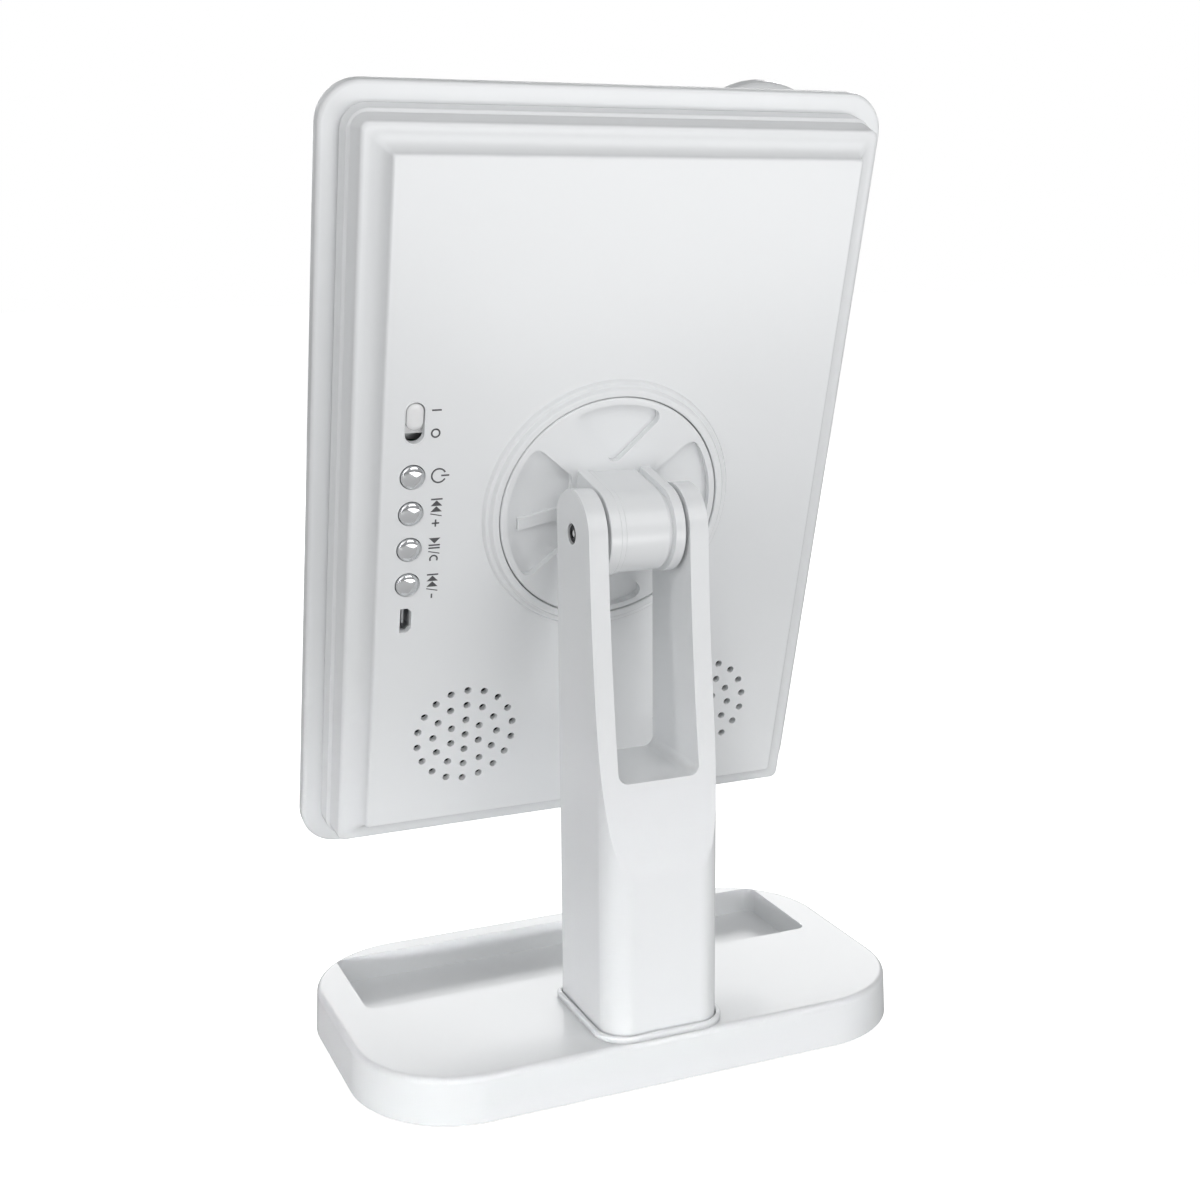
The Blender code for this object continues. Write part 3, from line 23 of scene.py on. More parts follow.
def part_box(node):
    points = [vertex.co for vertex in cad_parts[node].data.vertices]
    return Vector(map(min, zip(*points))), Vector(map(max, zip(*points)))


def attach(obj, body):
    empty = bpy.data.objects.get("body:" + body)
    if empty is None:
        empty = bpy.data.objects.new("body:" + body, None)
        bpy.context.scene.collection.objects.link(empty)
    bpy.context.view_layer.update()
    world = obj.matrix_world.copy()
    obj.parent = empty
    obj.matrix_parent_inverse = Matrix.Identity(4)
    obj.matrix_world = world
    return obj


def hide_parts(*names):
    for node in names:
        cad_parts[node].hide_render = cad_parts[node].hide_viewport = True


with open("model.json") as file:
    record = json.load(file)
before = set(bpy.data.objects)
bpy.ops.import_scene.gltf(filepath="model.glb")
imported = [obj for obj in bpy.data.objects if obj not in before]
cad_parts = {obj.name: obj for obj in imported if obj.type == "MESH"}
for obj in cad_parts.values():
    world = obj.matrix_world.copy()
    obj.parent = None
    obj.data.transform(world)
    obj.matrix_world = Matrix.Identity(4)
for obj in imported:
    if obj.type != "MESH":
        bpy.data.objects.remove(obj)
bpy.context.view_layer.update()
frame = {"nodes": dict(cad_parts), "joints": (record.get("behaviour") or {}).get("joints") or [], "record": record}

MM = 0.001
LOG = logging.getLogger("vanity_mirror")

Point = tuple[float, float]
Triple = tuple[float, float, float]
Outline = list[Point]
Shape = bmesh.types.BMesh
Socket = bpy.types.NodeSocket


# ---- Finishes ----------------------------------------------------------------------------


class Tree:
    """The node tree of a material or of the sky."""

    def __init__(self, owner: bpy.types.Material | bpy.types.World) -> None:
        """Takes the tree of its owner, and adds the object's coordinates."""
        owner.use_nodes = True
        self.nodes = owner.node_tree.nodes
        self.links = owner.node_tree.links
        self.place = self.add("TexCoord", "Object")

    def fill(self, node: bpy.types.Node, inputs: dict[str | int, object]) -> None:
        """Sets a node's inputs, each to a value or to another node's output."""
        for name, value in inputs.items():
            if isinstance(value, Socket):
                self.links.new(value, node.inputs[name])
            else:
                node.inputs[name].default_value = value

    def add(self, kind: str, output: str | int, inputs: dict | None = None, **options: str) -> Socket:
        """Adds a node.

        Args:
            kind: What it does, as its type's name ends.
            output: The output that is wanted.
            inputs: Its inputs, as fill takes them.
            options: Its own settings.

        Returns:
            That output.
        """
        node = self.nodes.new(f"ShaderNode{kind}")
        for name, value in options.items():
            setattr(node, name, value)
        self.fill(node, inputs or {})
        return node.outputs[output]

    def shade(self, **inputs: object) -> None:
        """Sets the shader's inputs, whose names have underscores for spaces."""
        named = {name.replace("_", " "): value for name, value in inputs.items()}
        self.fill(self.nodes["Principled BSDF"], named)

    def noise(self, size: float, detail: float, stretch: Triple | None = None) -> Socket:
        """Soft noise from 0 to 1, by a blotch's width and the number of finer layers."""
        place = self.place
        if stretch:
            place = self.add("Mapping", "Vector", {"Vector": place, "Scale": stretch})
        return self.add("TexNoise", "Fac", {"Vector": place, "Scale": 1 / size, "Detail": detail})

    def cells(self, size: float, feature: str = "F1") -> Socket:
        """The distance inside a pattern of cells, by a cell's width."""
        return self.add("TexVoronoi", "Distance", {"Vector": self.place, "Scale": 1 / size}, feature=feature)

    def spread(self, value: Socket, low: float, high: float, start: float = 0.3, end: float = 0.7) -> Socket:
        """Maps a value from the range of start to end onto that of low to high."""
        inputs = {"Value": value, "From Min": start, "From Max": end, "To Min": low, "To Max": high}
        return self.add("MapRange", "Result", inputs)

    def blend(self, share: Socket, first: Triple, second: Triple) -> Socket:
        """A colour between two, by a share."""
        return self.add("Mix", 2, {"Factor": share, 6: (*first, 1), 7: (*second, 1)}, data_type="RGBA")

    def toned(self, share: Socket, colour: Triple, factor: float) -> Socket:
        """A colour that darkens by a factor as the share rises."""
        return self.blend(share, colour, tuple(value * factor for value in colour))

    def bump(self, height: Socket, depth: float, under: dict | None = None) -> Socket:
        """Relief of a depth from a height of 0 to 1, over another relief if one is given."""
        inputs = {"Height": height, "Distance": depth, "Strength": 1}
        return self.add("Bump", "Normal", inputs | (under or {}))


@dataclass(frozen=True)
class Finish:
    """What every finish has: a name, a colour and a roughness."""

    name: str
    colour: Triple
    roughness: float

    def dress(self, tree: Tree) -> None:
        """Adds the nodes of this finish."""
        raise NotImplementedError

    def rough(self, tree: Tree, value: Socket, low: float, high: float, *ends: float) -> Socket:
        """The roughness times a factor that a value spreads from low to high."""
        return tree.spread(value, self.roughness * low, self.roughness * high, *ends)

    def material(self) -> bpy.types.Material:
        """The finish's material, made once."""
        made = bpy.data.materials.get(self.name)
        if made is None:
            made = bpy.data.materials.new(self.name)
            tree = Tree(made)
            tree.shade(Roughness=self.roughness)
            self.dress(tree)
        return made


@dataclass(frozen=True)
class Moulding(Finish):
    """Injection-moulded plastic: orange peel, slow waves from the mould, and faint mottling."""

    peel: float = 0.9 * MM
    peel_depth: float = 0.0012 * MM
    wave: float = 26 * MM
    wave_depth: float = 0.02 * MM
    coat: float = 0.0

    def dress(self, tree: Tree) -> None:
        """A pale, slightly uneven plastic."""
        mottle = tree.spread(tree.noise(38 * MM, 3), 0, 1)
        waves = tree.bump(tree.noise(self.wave, 1), self.wave_depth)
        tree.shade(
            Base_Color=tree.toned(mottle, self.colour, 0.975),
            Roughness=self.rough(tree, tree.noise(15 * MM, 4), 0.85, 1.2),
            Normal=tree.bump(tree.noise(self.peel, 1), self.peel_depth, {"Normal": waves}),
            IOR=1.49,
            Coat_Weight=self.coat,
            Coat_Roughness=0.06,
        )


@dataclass(frozen=True)
class Metal(Finish):
    """Metal with drawn or rolled marks and a few smears."""

    stretch: Triple | None = None
    grain: float = 0.5 * MM
    depth: float = 0.001 * MM

    def dress(self, tree: Tree) -> None:
        """A metal whose colour follows its grain."""
        grain = tree.noise(self.grain, 3, self.stretch)
        tree.shade(
            Base_Color=tree.toned(tree.spread(grain, 0, 1), self.colour, 0.82),
            Roughness=self.rough(tree, tree.noise(3 * MM, 4), 0.7, 1.5),
            Normal=tree.bump(grain, self.depth),
            Metallic=1.0,
        )


@dataclass(frozen=True)
class Silvering(Finish):
    """Silvered glass with the faintest smears on its face."""

    def dress(self, tree: Tree) -> None:
        """A mirror that is a little soft where it was wiped."""
        wiped = tree.noise(22 * MM, 5, (1, 1, 0.35))
        tree.shade(
            Base_Color=tree.toned(tree.spread(wiped, 0, 1), self.colour, 0.985),
            Roughness=self.rough(tree, wiped, 1, 3.5, 0.45, 0.75),
            Metallic=1.0,
            Coat_Weight=0.4,
            Coat_Roughness=0.02,
        )


@dataclass(frozen=True)
class Milky(Finish):
    """Frosted plastic that spreads light, with a fine prism texture."""

    cell: float = 1.1 * MM

    def dress(self, tree: Tree) -> None:
        """A clouded, slightly warm plastic."""
        clouds = tree.spread(tree.noise(9 * MM, 3), 0, 1)
        red, green, blue = self.colour
        tree.shade(
            Base_Color=tree.blend(clouds, self.colour, (red, green * 0.985, blue * 0.95)),
            Roughness=self.rough(tree, clouds, 0.9, 1.1, 0, 1),
            Normal=tree.bump(tree.cells(self.cell), 0.03 * MM),
            Subsurface_Weight=0.25,
            Subsurface_Radius=(0.004, 0.004, 0.0035),
        )


@dataclass(frozen=True)
class Rough(Finish):
    """A matt material with a grain: rubber, pressed fibre, sintered powder, cloth or ink."""

    grain: float = 0.5 * MM
    depth: float = 0.02 * MM
    speckle: float = 0.5

    def dress(self, tree: Tree) -> None:
        """A dull surface with a speckled grain."""
        grain = tree.noise(self.grain, 4)
        tree.shade(
            Base_Color=tree.toned(tree.spread(grain, 0, 1), self.colour, 1 - self.speckle),
            Roughness=self.rough(tree, grain, 0.85, 1.1),
            Normal=tree.bump(grain, self.depth),
        )


@dataclass(frozen=True)
class Board(Finish):
    """A circuit board's solder mask over copper tracks."""

    track: float = 2.2 * MM
    shine: Triple = (0.10, 0.35, 0.16)

    def dress(self, tree: Tree) -> None:
        """Tracks that stand a little proud under the mask, and lighter."""
        tracks = tree.spread(tree.cells(self.track, "DISTANCE_TO_EDGE"), 1, 0, 0.06, 0.12)
        tree.shade(
            Base_Color=tree.blend(tracks, self.colour, self.shine),
            Roughness=self.rough(tree, tree.noise(4 * MM, 3), 0.8, 1.2),
            Normal=tree.bump(tracks, 0.03 * MM),
        )


@dataclass(frozen=True)
class Vinyl(Finish):
    """Soft clear vinyl, cloudy in its depth."""

    def dress(self, tree: Tree) -> None:
        """A clear, slightly blotched plastic."""
        clouds = tree.spread(tree.noise(5 * MM, 3), 0, 1)
        tree.shade(
            Base_Color=tree.toned(clouds, self.colour, 0.9),
            Roughness=self.rough(tree, clouds, 1, 1.8, 0, 1),
            Normal=tree.bump(tree.noise(2 * MM, 2), 0.01 * MM),
            Transmission_Weight=0.75,
            IOR=1.45,
        )


WHITE_GLOSS = Moulding("white_gloss", (0.70, 0.71, 0.732), 0.11, coat=0.6)
# This white colours the switch's knob, and also the pale dot that paints a highlight in the hinge bolt's socket.
KNOB_AND_GLINT_WHITE = Moulding("knob_and_glint_white", (0.9, 0.9, 0.9), 0.16, coat=0.6)
WHITE_SATIN = Moulding("white_satin", (0.80, 0.81, 0.82), 0.42, 0.45 * MM, 0.004 * MM)
BLACK_PLASTIC = Moulding("black_plastic", (0.03, 0.03, 0.032), 0.5, 0.5 * MM, 0.003 * MM)
BATTERY_WRAP = Moulding("battery_wrap", (0.1, 0.25, 0.5), 0.32, 5 * MM, 0.03 * MM)
RED_WIRE = Moulding("wire_red", (0.5, 0.03, 0.03), 0.4, 0.4 * MM, 0.002 * MM)
LIGHT_BOARD = Board("light_board", (0.80, 0.81, 0.82), 0.4, shine=(0.9, 0.9, 0.88))
GREEN_BOARD = Board("circuit_board", (0.03, 0.22, 0.1), 0.4)
CHROME = Metal("chrome", (0.93, 0.935, 0.94), 0.09, grain=4 * MM, depth=0.0006 * MM)
BLACK_STEEL = Metal("black_steel", (0.045, 0.045, 0.047), 0.4)
STEEL = Metal("steel", (0.55, 0.56, 0.57), 0.33, stretch=(0.2, 1, 1))
MIRROR = Silvering("mirror", (0.92, 0.925, 0.93), 0.015)
DIFFUSER = Milky("diffuser", (0.93, 0.92, 0.88), 0.5)
RUBBER = Rough("rubber", (0.04, 0.04, 0.04), 0.8)
CONE_PAPER = Rough("cone_paper", (0.05, 0.05, 0.05), 0.9, grain=0.3 * MM, depth=0.04 * MM)
FERRITE = Rough("ferrite", (0.1, 0.1, 0.1), 0.6, grain=0.2 * MM, depth=0.01 * MM)
GRILLE_CLOTH = Rough("grille_cloth", (0.015, 0.015, 0.016), 0.95, grain=0.35 * MM, depth=0.08 * MM)
INK = Rough("printing_ink", (0.10, 0.10, 0.105), 0.55, grain=0.15 * MM, depth=0.002 * MM, speckle=0.15)
CLEAR_VINYL = Vinyl("clear_vinyl", (0.9, 0.92, 0.92), 0.12)

SLOT_FINISHES: dict[str, Finish] = {
    finish.name: finish
    for finish in (
        WHITE_GLOSS, WHITE_SATIN, BLACK_PLASTIC, BATTERY_WRAP, RED_WIRE, LIGHT_BOARD, GREEN_BOARD,
        CHROME, STEEL, MIRROR, DIFFUSER, RUBBER, CONE_PAPER, FERRITE, CLEAR_VINYL,
    )
}


# ---- Outlines ----------------------------------------------------------------------------


def arc(centre: Point, radius: float, start: float, end: float, steps: int) -> Outline:
    """Points on an arc between two angles, both ends included."""
    angles = [start + (end - start) * i / steps for i in range(steps + 1)]
    return [(centre[0] + radius * math.cos(a), centre[1] + radius * math.sin(a)) for a in angles]


def circle(radius: float, centre: Point = (0, 0), steps: int = 48, phase: float = 0.0) -> Outline:
    """A full circle, without its first point twice."""
    return arc(centre, radius, phase, phase + 2 * math.pi, steps)[:-1]


def rounded(
    corners: Sequence[Point], radii: Sequence[float], steps: int = 8, closed: bool = True
) -> Outline:
    """A line of corners, each rounded by its own radius.

    Args:
        corners: The corners in order.
        radii: A radius for each. Where it is 0 the corner stays.
        steps: How many short lines make one rounding.
        closed: Whether the line returns to its start. An open line's ends stay as they are.

    Returns:
        The rounded line's points.
    """
    points: Outline = []
    last = len(corners) - 1
    for i, (corner, radius) in enumerate(zip(corners, radii)):
        if radius <= 0 or (not closed and i in (0, last)):
            points.append(corner)
            continue
        here = Vector(corner)
        to_before = (Vector(corners[i - 1]) - here).normalized()
        to_after = (Vector(corners[(i + 1) % len(corners)]) - here).normalized()
        half = to_before.angle(to_after) / 2
        centre = here + (to_before + to_after).normalized() * (radius / math.sin(half))
        start = here + to_before * (radius / math.tan(half)) - centre
        end = here + to_after * (radius / math.tan(half)) - centre
        first = math.atan2(start.y, start.x)
        turn = (math.atan2(end.y, end.x) - first + math.pi) % (2 * math.pi) - math.pi
        points += arc((centre.x, centre.y), radius, first, first + turn, steps)
    return points


def rectangle(
    width: float, length: float, radius: float, centre: Point = (0, 0), steps: int = 10
) -> Outline:
    """A rectangle with rounded corners."""
    x, y = width / 2, length / 2
    corners = [(x, y), (-x, y), (-x, -y), (x, -y)]
    return rounded([(centre[0] + a, centre[1] + b) for a, b in corners], [radius] * 4, steps)


# ---- Shapes ------------------------------------------------------------------------------


class Along(Enum):
    """The axis that a shape is drawn or turned along."""

    X = "X"
    Y = "Y"
    Z = "Z"

    def lift(self, point: Point, height: float) -> Vector:
        """A point of a flat outline, at a height along this axis."""
        a, b = point
        return Vector({"X": (height, a, b), "Y": (a, height, b), "Z": (a, b, height)}[self.value])


def closed_up(shape: Shape) -> Shape:
    """The shape with its normals pointing out."""
    bmesh.ops.recalc_face_normals(shape, faces=shape.faces)
    return shape


def loft(
    outlines: Sequence[Outline], heights: Sequence[float], along: Along = Along.Z, cyclic: bool = False
) -> Shape:
    """An outline extruded from height to height, and moved to the next outline each time.

    Args:
        outlines: Outlines that all have as many points as the first.
        heights: The height of each.
        along: The axis that the heights are on.
        cyclic: Whether the last outline joins the first, which makes a ring. Else the ends close.

    Returns:
        The closed shape.
    """
    shape = bmesh.new()
    places = [[along.lift(p, height) for p in line] for line, height in zip(outlines, heights)]
    first = shape.faces.new([shape.verts.new(point) for point in places[0]])
    face = first
    for points in places[1:] + places[:1] * cyclic:
        drawn = bmesh.ops.extrude_face_region(shape, geom=[face])
        if face is not first:
            shape.faces.remove(face)
        face = next(f for f in drawn["geom"] if isinstance(f, bmesh.types.BMFace))
        for vert, point in zip(face.verts, points):
            vert.co = point
    if cyclic:
        bmesh.ops.delete(shape, geom=[first, face], context="FACES_ONLY")
        bmesh.ops.remove_doubles(shape, verts=shape.verts, dist=0.001 * MM)
    return closed_up(shape)


def prism(outline: Outline, low: float, high: float, along: Along = Along.Z) -> Shape:
    """An outline drawn from one height to another."""
    return loft([outline, outline], [low, high], along)


def turned(
    profile: Sequence[Point], steps: int = 96, along: Along = Along.Z, centre: Point = (0, 0)
) -> Shape:
    """A profile of (radius, height) points turned round an axis.

    Args:
        profile: The points. A profile that leaves the axis open is joined end to end.
        steps: How many sides the turning has.
        along: The axis.
        centre: Where the axis stands.

    Returns:
        The closed shape.
    """
    shape = bmesh.new()
    verts = [shape.verts.new(along.lift((radius, 0), height)) for radius, height in profile]
    edges = [shape.edges.new(pair) for pair in zip(verts, verts[1:])]
    if all(radius > 0 for radius, _ in profile):
        edges.append(shape.edges.new((verts[-1], verts[0])))
    bmesh.ops.spin(
        shape, geom=verts + edges, axis=along.lift((0, 0), 1), angle=2 * math.pi, steps=steps, use_merge=True
    )
    bmesh.ops.remove_doubles(shape, verts=shape.verts, dist=0.0005 * MM)
    bmesh.ops.translate(shape, vec=along.lift(centre, 0), verts=shape.verts)
    return closed_up(shape)


def joined(shapes: Iterable[Shape]) -> Shape:
    """Several shapes in one, which don't touch each other."""
    whole = bmesh.new()
    for shape in shapes:
        mesh = bpy.data.meshes.new("part")
        shape.to_mesh(mesh)
        shape.free()
        whole.from_mesh(mesh)
        bpy.data.meshes.remove(mesh)
    return whole


# ---- Pieces ------------------------------------------------------------------------------


def placed(name: str, data: bpy.types.ID) -> bpy.types.Object:
    """A new object in the scene, of a mesh, a light or a camera."""
    thing = bpy.data.objects.new(name, data)
    bpy.context.scene.collection.objects.link(thing)
    return thing


def stored(name: str, shape: Shape) -> bpy.types.Object:
    """A smooth-shaded object in the scene that holds the shape."""
    mesh = bpy.data.meshes.new(name)
    shape.to_mesh(mesh)
    shape.free()
    mesh.shade_smooth()
    return placed(name, mesh)


@dataclass
class Cut:
    """One step of carving: a shape that is taken away, or joined on."""

    shape: Shape
    operation: str = "DIFFERENCE"


def carved(base: Shape, cuts: Sequence[Cut]) -> Shape:
    """A shape after its cuts and joins."""
    blank = stored("blank", base)
    tools = [stored("tool", cut.shape) for cut in cuts]
    for cut, tool in zip(cuts, tools):
        boolean = blank.modifiers.new("cut", "BOOLEAN")
        boolean.operation = cut.operation
        boolean.solver = "EXACT"
        boolean.object = tool
    graph = bpy.context.evaluated_depsgraph_get()
    evaluated = blank.evaluated_get(graph)
    result = bmesh.new()
    result.from_mesh(evaluated.to_mesh())
    evaluated.to_mesh_clear()
    for helper in (blank, *tools):
        mesh = helper.data
        bpy.data.objects.remove(helper)
        bpy.data.meshes.remove(mesh)
    bmesh.ops.remove_doubles(result, verts=result.verts, dist=0.002 * MM)
    return closed_up(result)


@dataclass(frozen=True)
class Edging:
    """How a piece's sharp edges are softened, by a width where they turn by more than an angle."""

    width: float
    angle: float = math.radians(40)
    segments: int = 3


def piece(
    name: str,
    shape: Shape,
    finish: Finish,
    body: str,
    replaces: Sequence[str] = (),
    axes: Matrix | None = None,
    edging: Edging | None = None,
) -> bpy.types.Object:
    """Makes a finished piece that rides on a body.

    Args:
        name: The piece's name.
        shape: Its shape, which is used up.
        finish: What it is made of.
        body: The body that carries it.
        replaces: The CAD nodes that it stands for.
        axes: The axes that it was drawn in, or the world's.
        edging: How its edges are softened.

    Returns:
        The piece.
    """
    if axes:
        bmesh.ops.transform(shape, matrix=axes, verts=shape.verts)
    made = stored(name, closed_up(shape))
    if edging:
        bevel = made.modifiers.new("edging", "BEVEL")
        bevel.width = edging.width
        bevel.segments = edging.segments
        bevel.limit_method = "ANGLE"
        bevel.angle_limit = edging.angle
        bevel.miter_outer = "MITER_ARC"
    weighted = made.modifiers.new("even_shading", "WEIGHTED_NORMAL")
    weighted.keep_sharp = True
    graph = bpy.context.evaluated_depsgraph_get()
    fine = bpy.data.meshes.new_from_object(made.evaluated_get(graph))
    rough = made.data
    made.modifiers.clear()
    made.data = fine
    bpy.data.meshes.remove(rough)
    fine.name = name
    fine.materials.clear()
    fine.materials.append(finish.material())
    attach(made, body)
    if replaces:
        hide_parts(*replaces)
    LOG.info("%s rides on %s: %d faces", name, body, len(fine.polygons))
    return made


def head_axes() -> Matrix:
    """The head's own axes, from the tilt and turn joints."""
    joints = {joint["name"]: joint for joint in frame["joints"]}
    out = Vector(joints["head_turn"]["axis"]).normalized()
    right = -Vector(joints["head_tilt"]["axis"]).normalized()
    axes = Matrix((right, out.cross(right), out)).transposed().to_4x4()
    axes.translation = Vector(joints["head_tilt"]["pos_m"])
    return axes


def extent(node: str, axes: Matrix) -> tuple[Vector, Vector]:
    """The lowest and highest corners of a CAD node in some axes."""
    inverse = axes.inverted()
    points = [inverse @ vert.co for vert in frame["nodes"][node].data.vertices]
    low = Vector(min(p[i] for p in points) for i in range(3))
    high = Vector(max(p[i] for p in points) for i in range(3))
    return low, high


def middle(node: str, axes: Matrix) -> Point:
    """The middle of a CAD node in some axes, seen along their Z."""
    low, high = extent(node, axes)
    return ((low.x + high.x) / 2, (low.y + high.y) / 2)


# ---- Stand -------------------------------------------------------------------------------


@dataclass
class Base:
    """The tray base: a shallow moulding, open below, over the CAD's bottom cover and feet."""

    corner: float = 32 * MM
    wall: float = 2.2 * MM
    draft: float = 0.6 * MM
    edge: float = 1.8 * MM
    tray_corner: float = 3 * MM
    tray_margin: float = 1.4 * MM  # from the record's tray box to the tray's sides
    tray_floor_margin: float = 0.5 * MM
    steps: int = 24

    def outline(self, inset: float) -> Outline:
        """The base's plan, moved in by a distance."""
        low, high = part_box("base_shell")
        width, depth = high.x - low.x - 2 * inset, high.y - low.y - 2 * inset
        return rectangle(width, depth, self.corner - inset, steps=self.steps)

    def tray_box(self) -> tuple[Vector, Vector]:
        """The box that the record gives the tray's opening."""
        openings = frame["record"]["physics"]["openings"]
        low, high = next(opening["box_m"] for opening in openings if opening["name"] == "tray")
        return Vector(low), Vector(high)

    def tray(self, grow: float) -> Outline:
        """The tray's plan, moved out by a distance."""
        low, high = self.tray_box()
        size = high - low + Vector((2, 2, 0)) * (self.tray_margin + grow)
        centre = (low + high) / 2
        return rectangle(size.x, size.y, self.tray_corner + grow, (centre.x, centre.y))

    def build(self) -> None:
        """The moulding, with the tray sunk into its front half."""
        low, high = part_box("base_shell")
        top = high.z
        floor = self.tray_box()[0].z - self.tray_floor_margin
        round_edge = arc((self.draft + self.edge, top - self.edge), self.edge, math.pi, math.pi / 2, 6)
        sections = [(0.3 * MM, low.z), (0, low.z + 0.3 * MM), *round_edge]
        body = loft([self.outline(inset) for inset, _ in sections], [z for _, z in sections])
        inside = self.wall + self.draft
        hollow = prism(self.outline(inside), low.z - self.wall, top - self.wall)
        tub = prism(self.tray(self.wall), floor - self.wall, top + self.wall)
        hollow = carved(hollow, [Cut(tub)])
        cuts = [Cut(hollow), Cut(prism(self.tray(0), floor, top + self.wall))]
        edging = Edging(0.55 * MM, math.radians(60))
        piece("base_moulding", carved(body, cuts), WHITE_GLOSS, "stand", ["base_shell"], edging=edging)


@dataclass
class Post:
    """The forked post and the trim ring at its foot."""

    rear_corner: float = 8 * MM
    front_corner: float = 2 * MM
    hollow: float = 2.2 * MM
    shield_foot: float = 63.4 * MM
    window_floor: float = 91 * MM
    window_corner: float = 3 * MM
    arm: float = 5.8 * MM
    pin_seat: tuple[float, float] = (3.05 * MM, 2.6 * MM)
    nut_seat: tuple[float, float] = (3.7 * MM, 2.8 * MM)
    bore: float = 2.3 * MM
    gap: float = 0.3 * MM
    ring_width: float = 1.4 * MM

    def __post_init__(self) -> None:
        """Reads the post's box and the hinge's place."""
        self.low, self.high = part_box("post")
        self.hinge = head_axes().translation
        self.radius = self.high.z - self.hinge.z
        self.half = self.high.x

    def shield(self, share: float) -> Point:
        """A point of the hollow back face, at a share of the way down it."""
        top = self.hinge.y + self.radius
        y = top + (self.high.y - top) * share - 4 * self.hollow * share * (1 - share)
        return (y, self.hinge.z + (self.shield_foot - self.hinge.z) * share)

    def share_at(self, y: float) -> float:
        """How far down the hollow back face a depth is met."""
        top = self.hinge.y + self.radius
        square, linear = 4 * self.hollow, self.high.y - top - 4 * self.hollow
        return (math.sqrt(linear**2 + 4 * square * (y - top)) - linear) / (2 * square)

    def side(self, rear_inset: float, front_inset: float) -> Outline:
        """The side view, where the front and the rear have moved in at a corner."""
        rear, front = self.high.y - rear_inset, self.low.y + front_inset
        end = self.share_at(rear)
        foot = [(rear, self.low.z), (rear, (self.low.z + self.shield(end)[1]) / 2)]
        back = [self.shield(end * (1 - i / 28)) for i in range(28)]
        last = math.acos(-(self.radius - front_inset) / self.radius)
        top = arc((self.hinge.y, self.hinge.z), self.radius, 0, last, 40)
        return foot + back + top + [(front, self.low.z)]

    def places(self) -> list[float]:
        """The places across the post where its corners need a section."""
        turns = [math.pi / 2 * i / 10 for i in range(11)]
        rear = {round(self.half - self.rear_corner * (1 - math.sin(turn)), 7) for turn in turns}
        front = {round(self.half - self.front_corner * (1 - math.sin(turn)), 7) for turn in turns[::2]}
        right = sorted(rear | front)
        return [-x for x in reversed(right)] + right

    def inset(self, x: float, corner: float) -> float:
        """How far a rounded corner has moved in at a place across the post."""
        past = max(0.0, abs(x) - (self.half - corner))
        return corner - math.sqrt(max(0.0, corner**2 - past**2))

    def plan(self, grow: float) -> Outline:
        """The post's plan, moved out by a distance."""
        x, front, rear = self.half + grow, self.low.y - grow, self.high.y + grow
        corners = [(x, rear), (-x, rear), (-x, front), (x, front)]
        radii = [self.rear_corner + grow] * 2 + [self.front_corner + grow] * 2
        return rounded(corners, radii, 12)

    def seats(self) -> Shape:
        """The hinge's bore with the seats of the bolt's head and of the nut."""
        over = self.half + 2 * MM
        pin_radius, nut_radius = self.pin_seat[0], self.nut_seat[0]
        pin_floor, nut_floor = self.half - self.pin_seat[1], self.nut_seat[1] - self.half
        profile = [
            (0, -over), (nut_radius, -over), (nut_radius, nut_floor), (self.bore, nut_floor),
            (self.bore, pin_floor), (pin_radius, pin_floor), (pin_radius, over), (0, over),
        ]
        return turned(profile, 48, Along.X, (self.hinge.y, self.hinge.z))

    def build(self) -> None:
        """The post and its ring."""
        places = self.places()
        corners = (self.rear_corner, self.front_corner)
        sides = [self.side(*(self.inset(x, corner) for corner in corners)) for x in places]
        body = loft(sides, places, Along.X)
        inner, top = self.half - self.arm, self.high.z + 5 * MM
        floor = self.window_floor
        corners = [(-inner, floor), (inner, floor), (inner, top), (-inner, top)]
        window = rounded(corners, [self.window_corner] * 2 + [0, 0], 10)
        opening = prism(window, self.low.y - 5 * MM, self.high.y + 5 * MM, Along.Y)
        body = carved(body, [Cut(opening), Cut(self.seats())])
        edging = Edging(0.45 * MM, math.radians(38))
        piece("post_moulding", body, WHITE_GLOSS, "stand", ["post"], edging=edging)
        self.build_ring()

    def build_ring(self) -> None:
        """The trim ring, with a rounded crown."""
        low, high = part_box("post_collar")
        width = self.ring_width
        crown = arc((self.gap + width * 0.5, high.z - width * 0.5), width * 0.5, 0, math.pi, 8)
        profile = [(self.gap, low.z), (self.gap + width, low.z), *crown]
        outlines = [self.plan(grow) for grow, _ in profile]
        ring = loft(outlines, [z for _, z in profile], cyclic=True)
        piece("post_trim_ring", ring, WHITE_GLOSS, "stand", ["post_collar"])


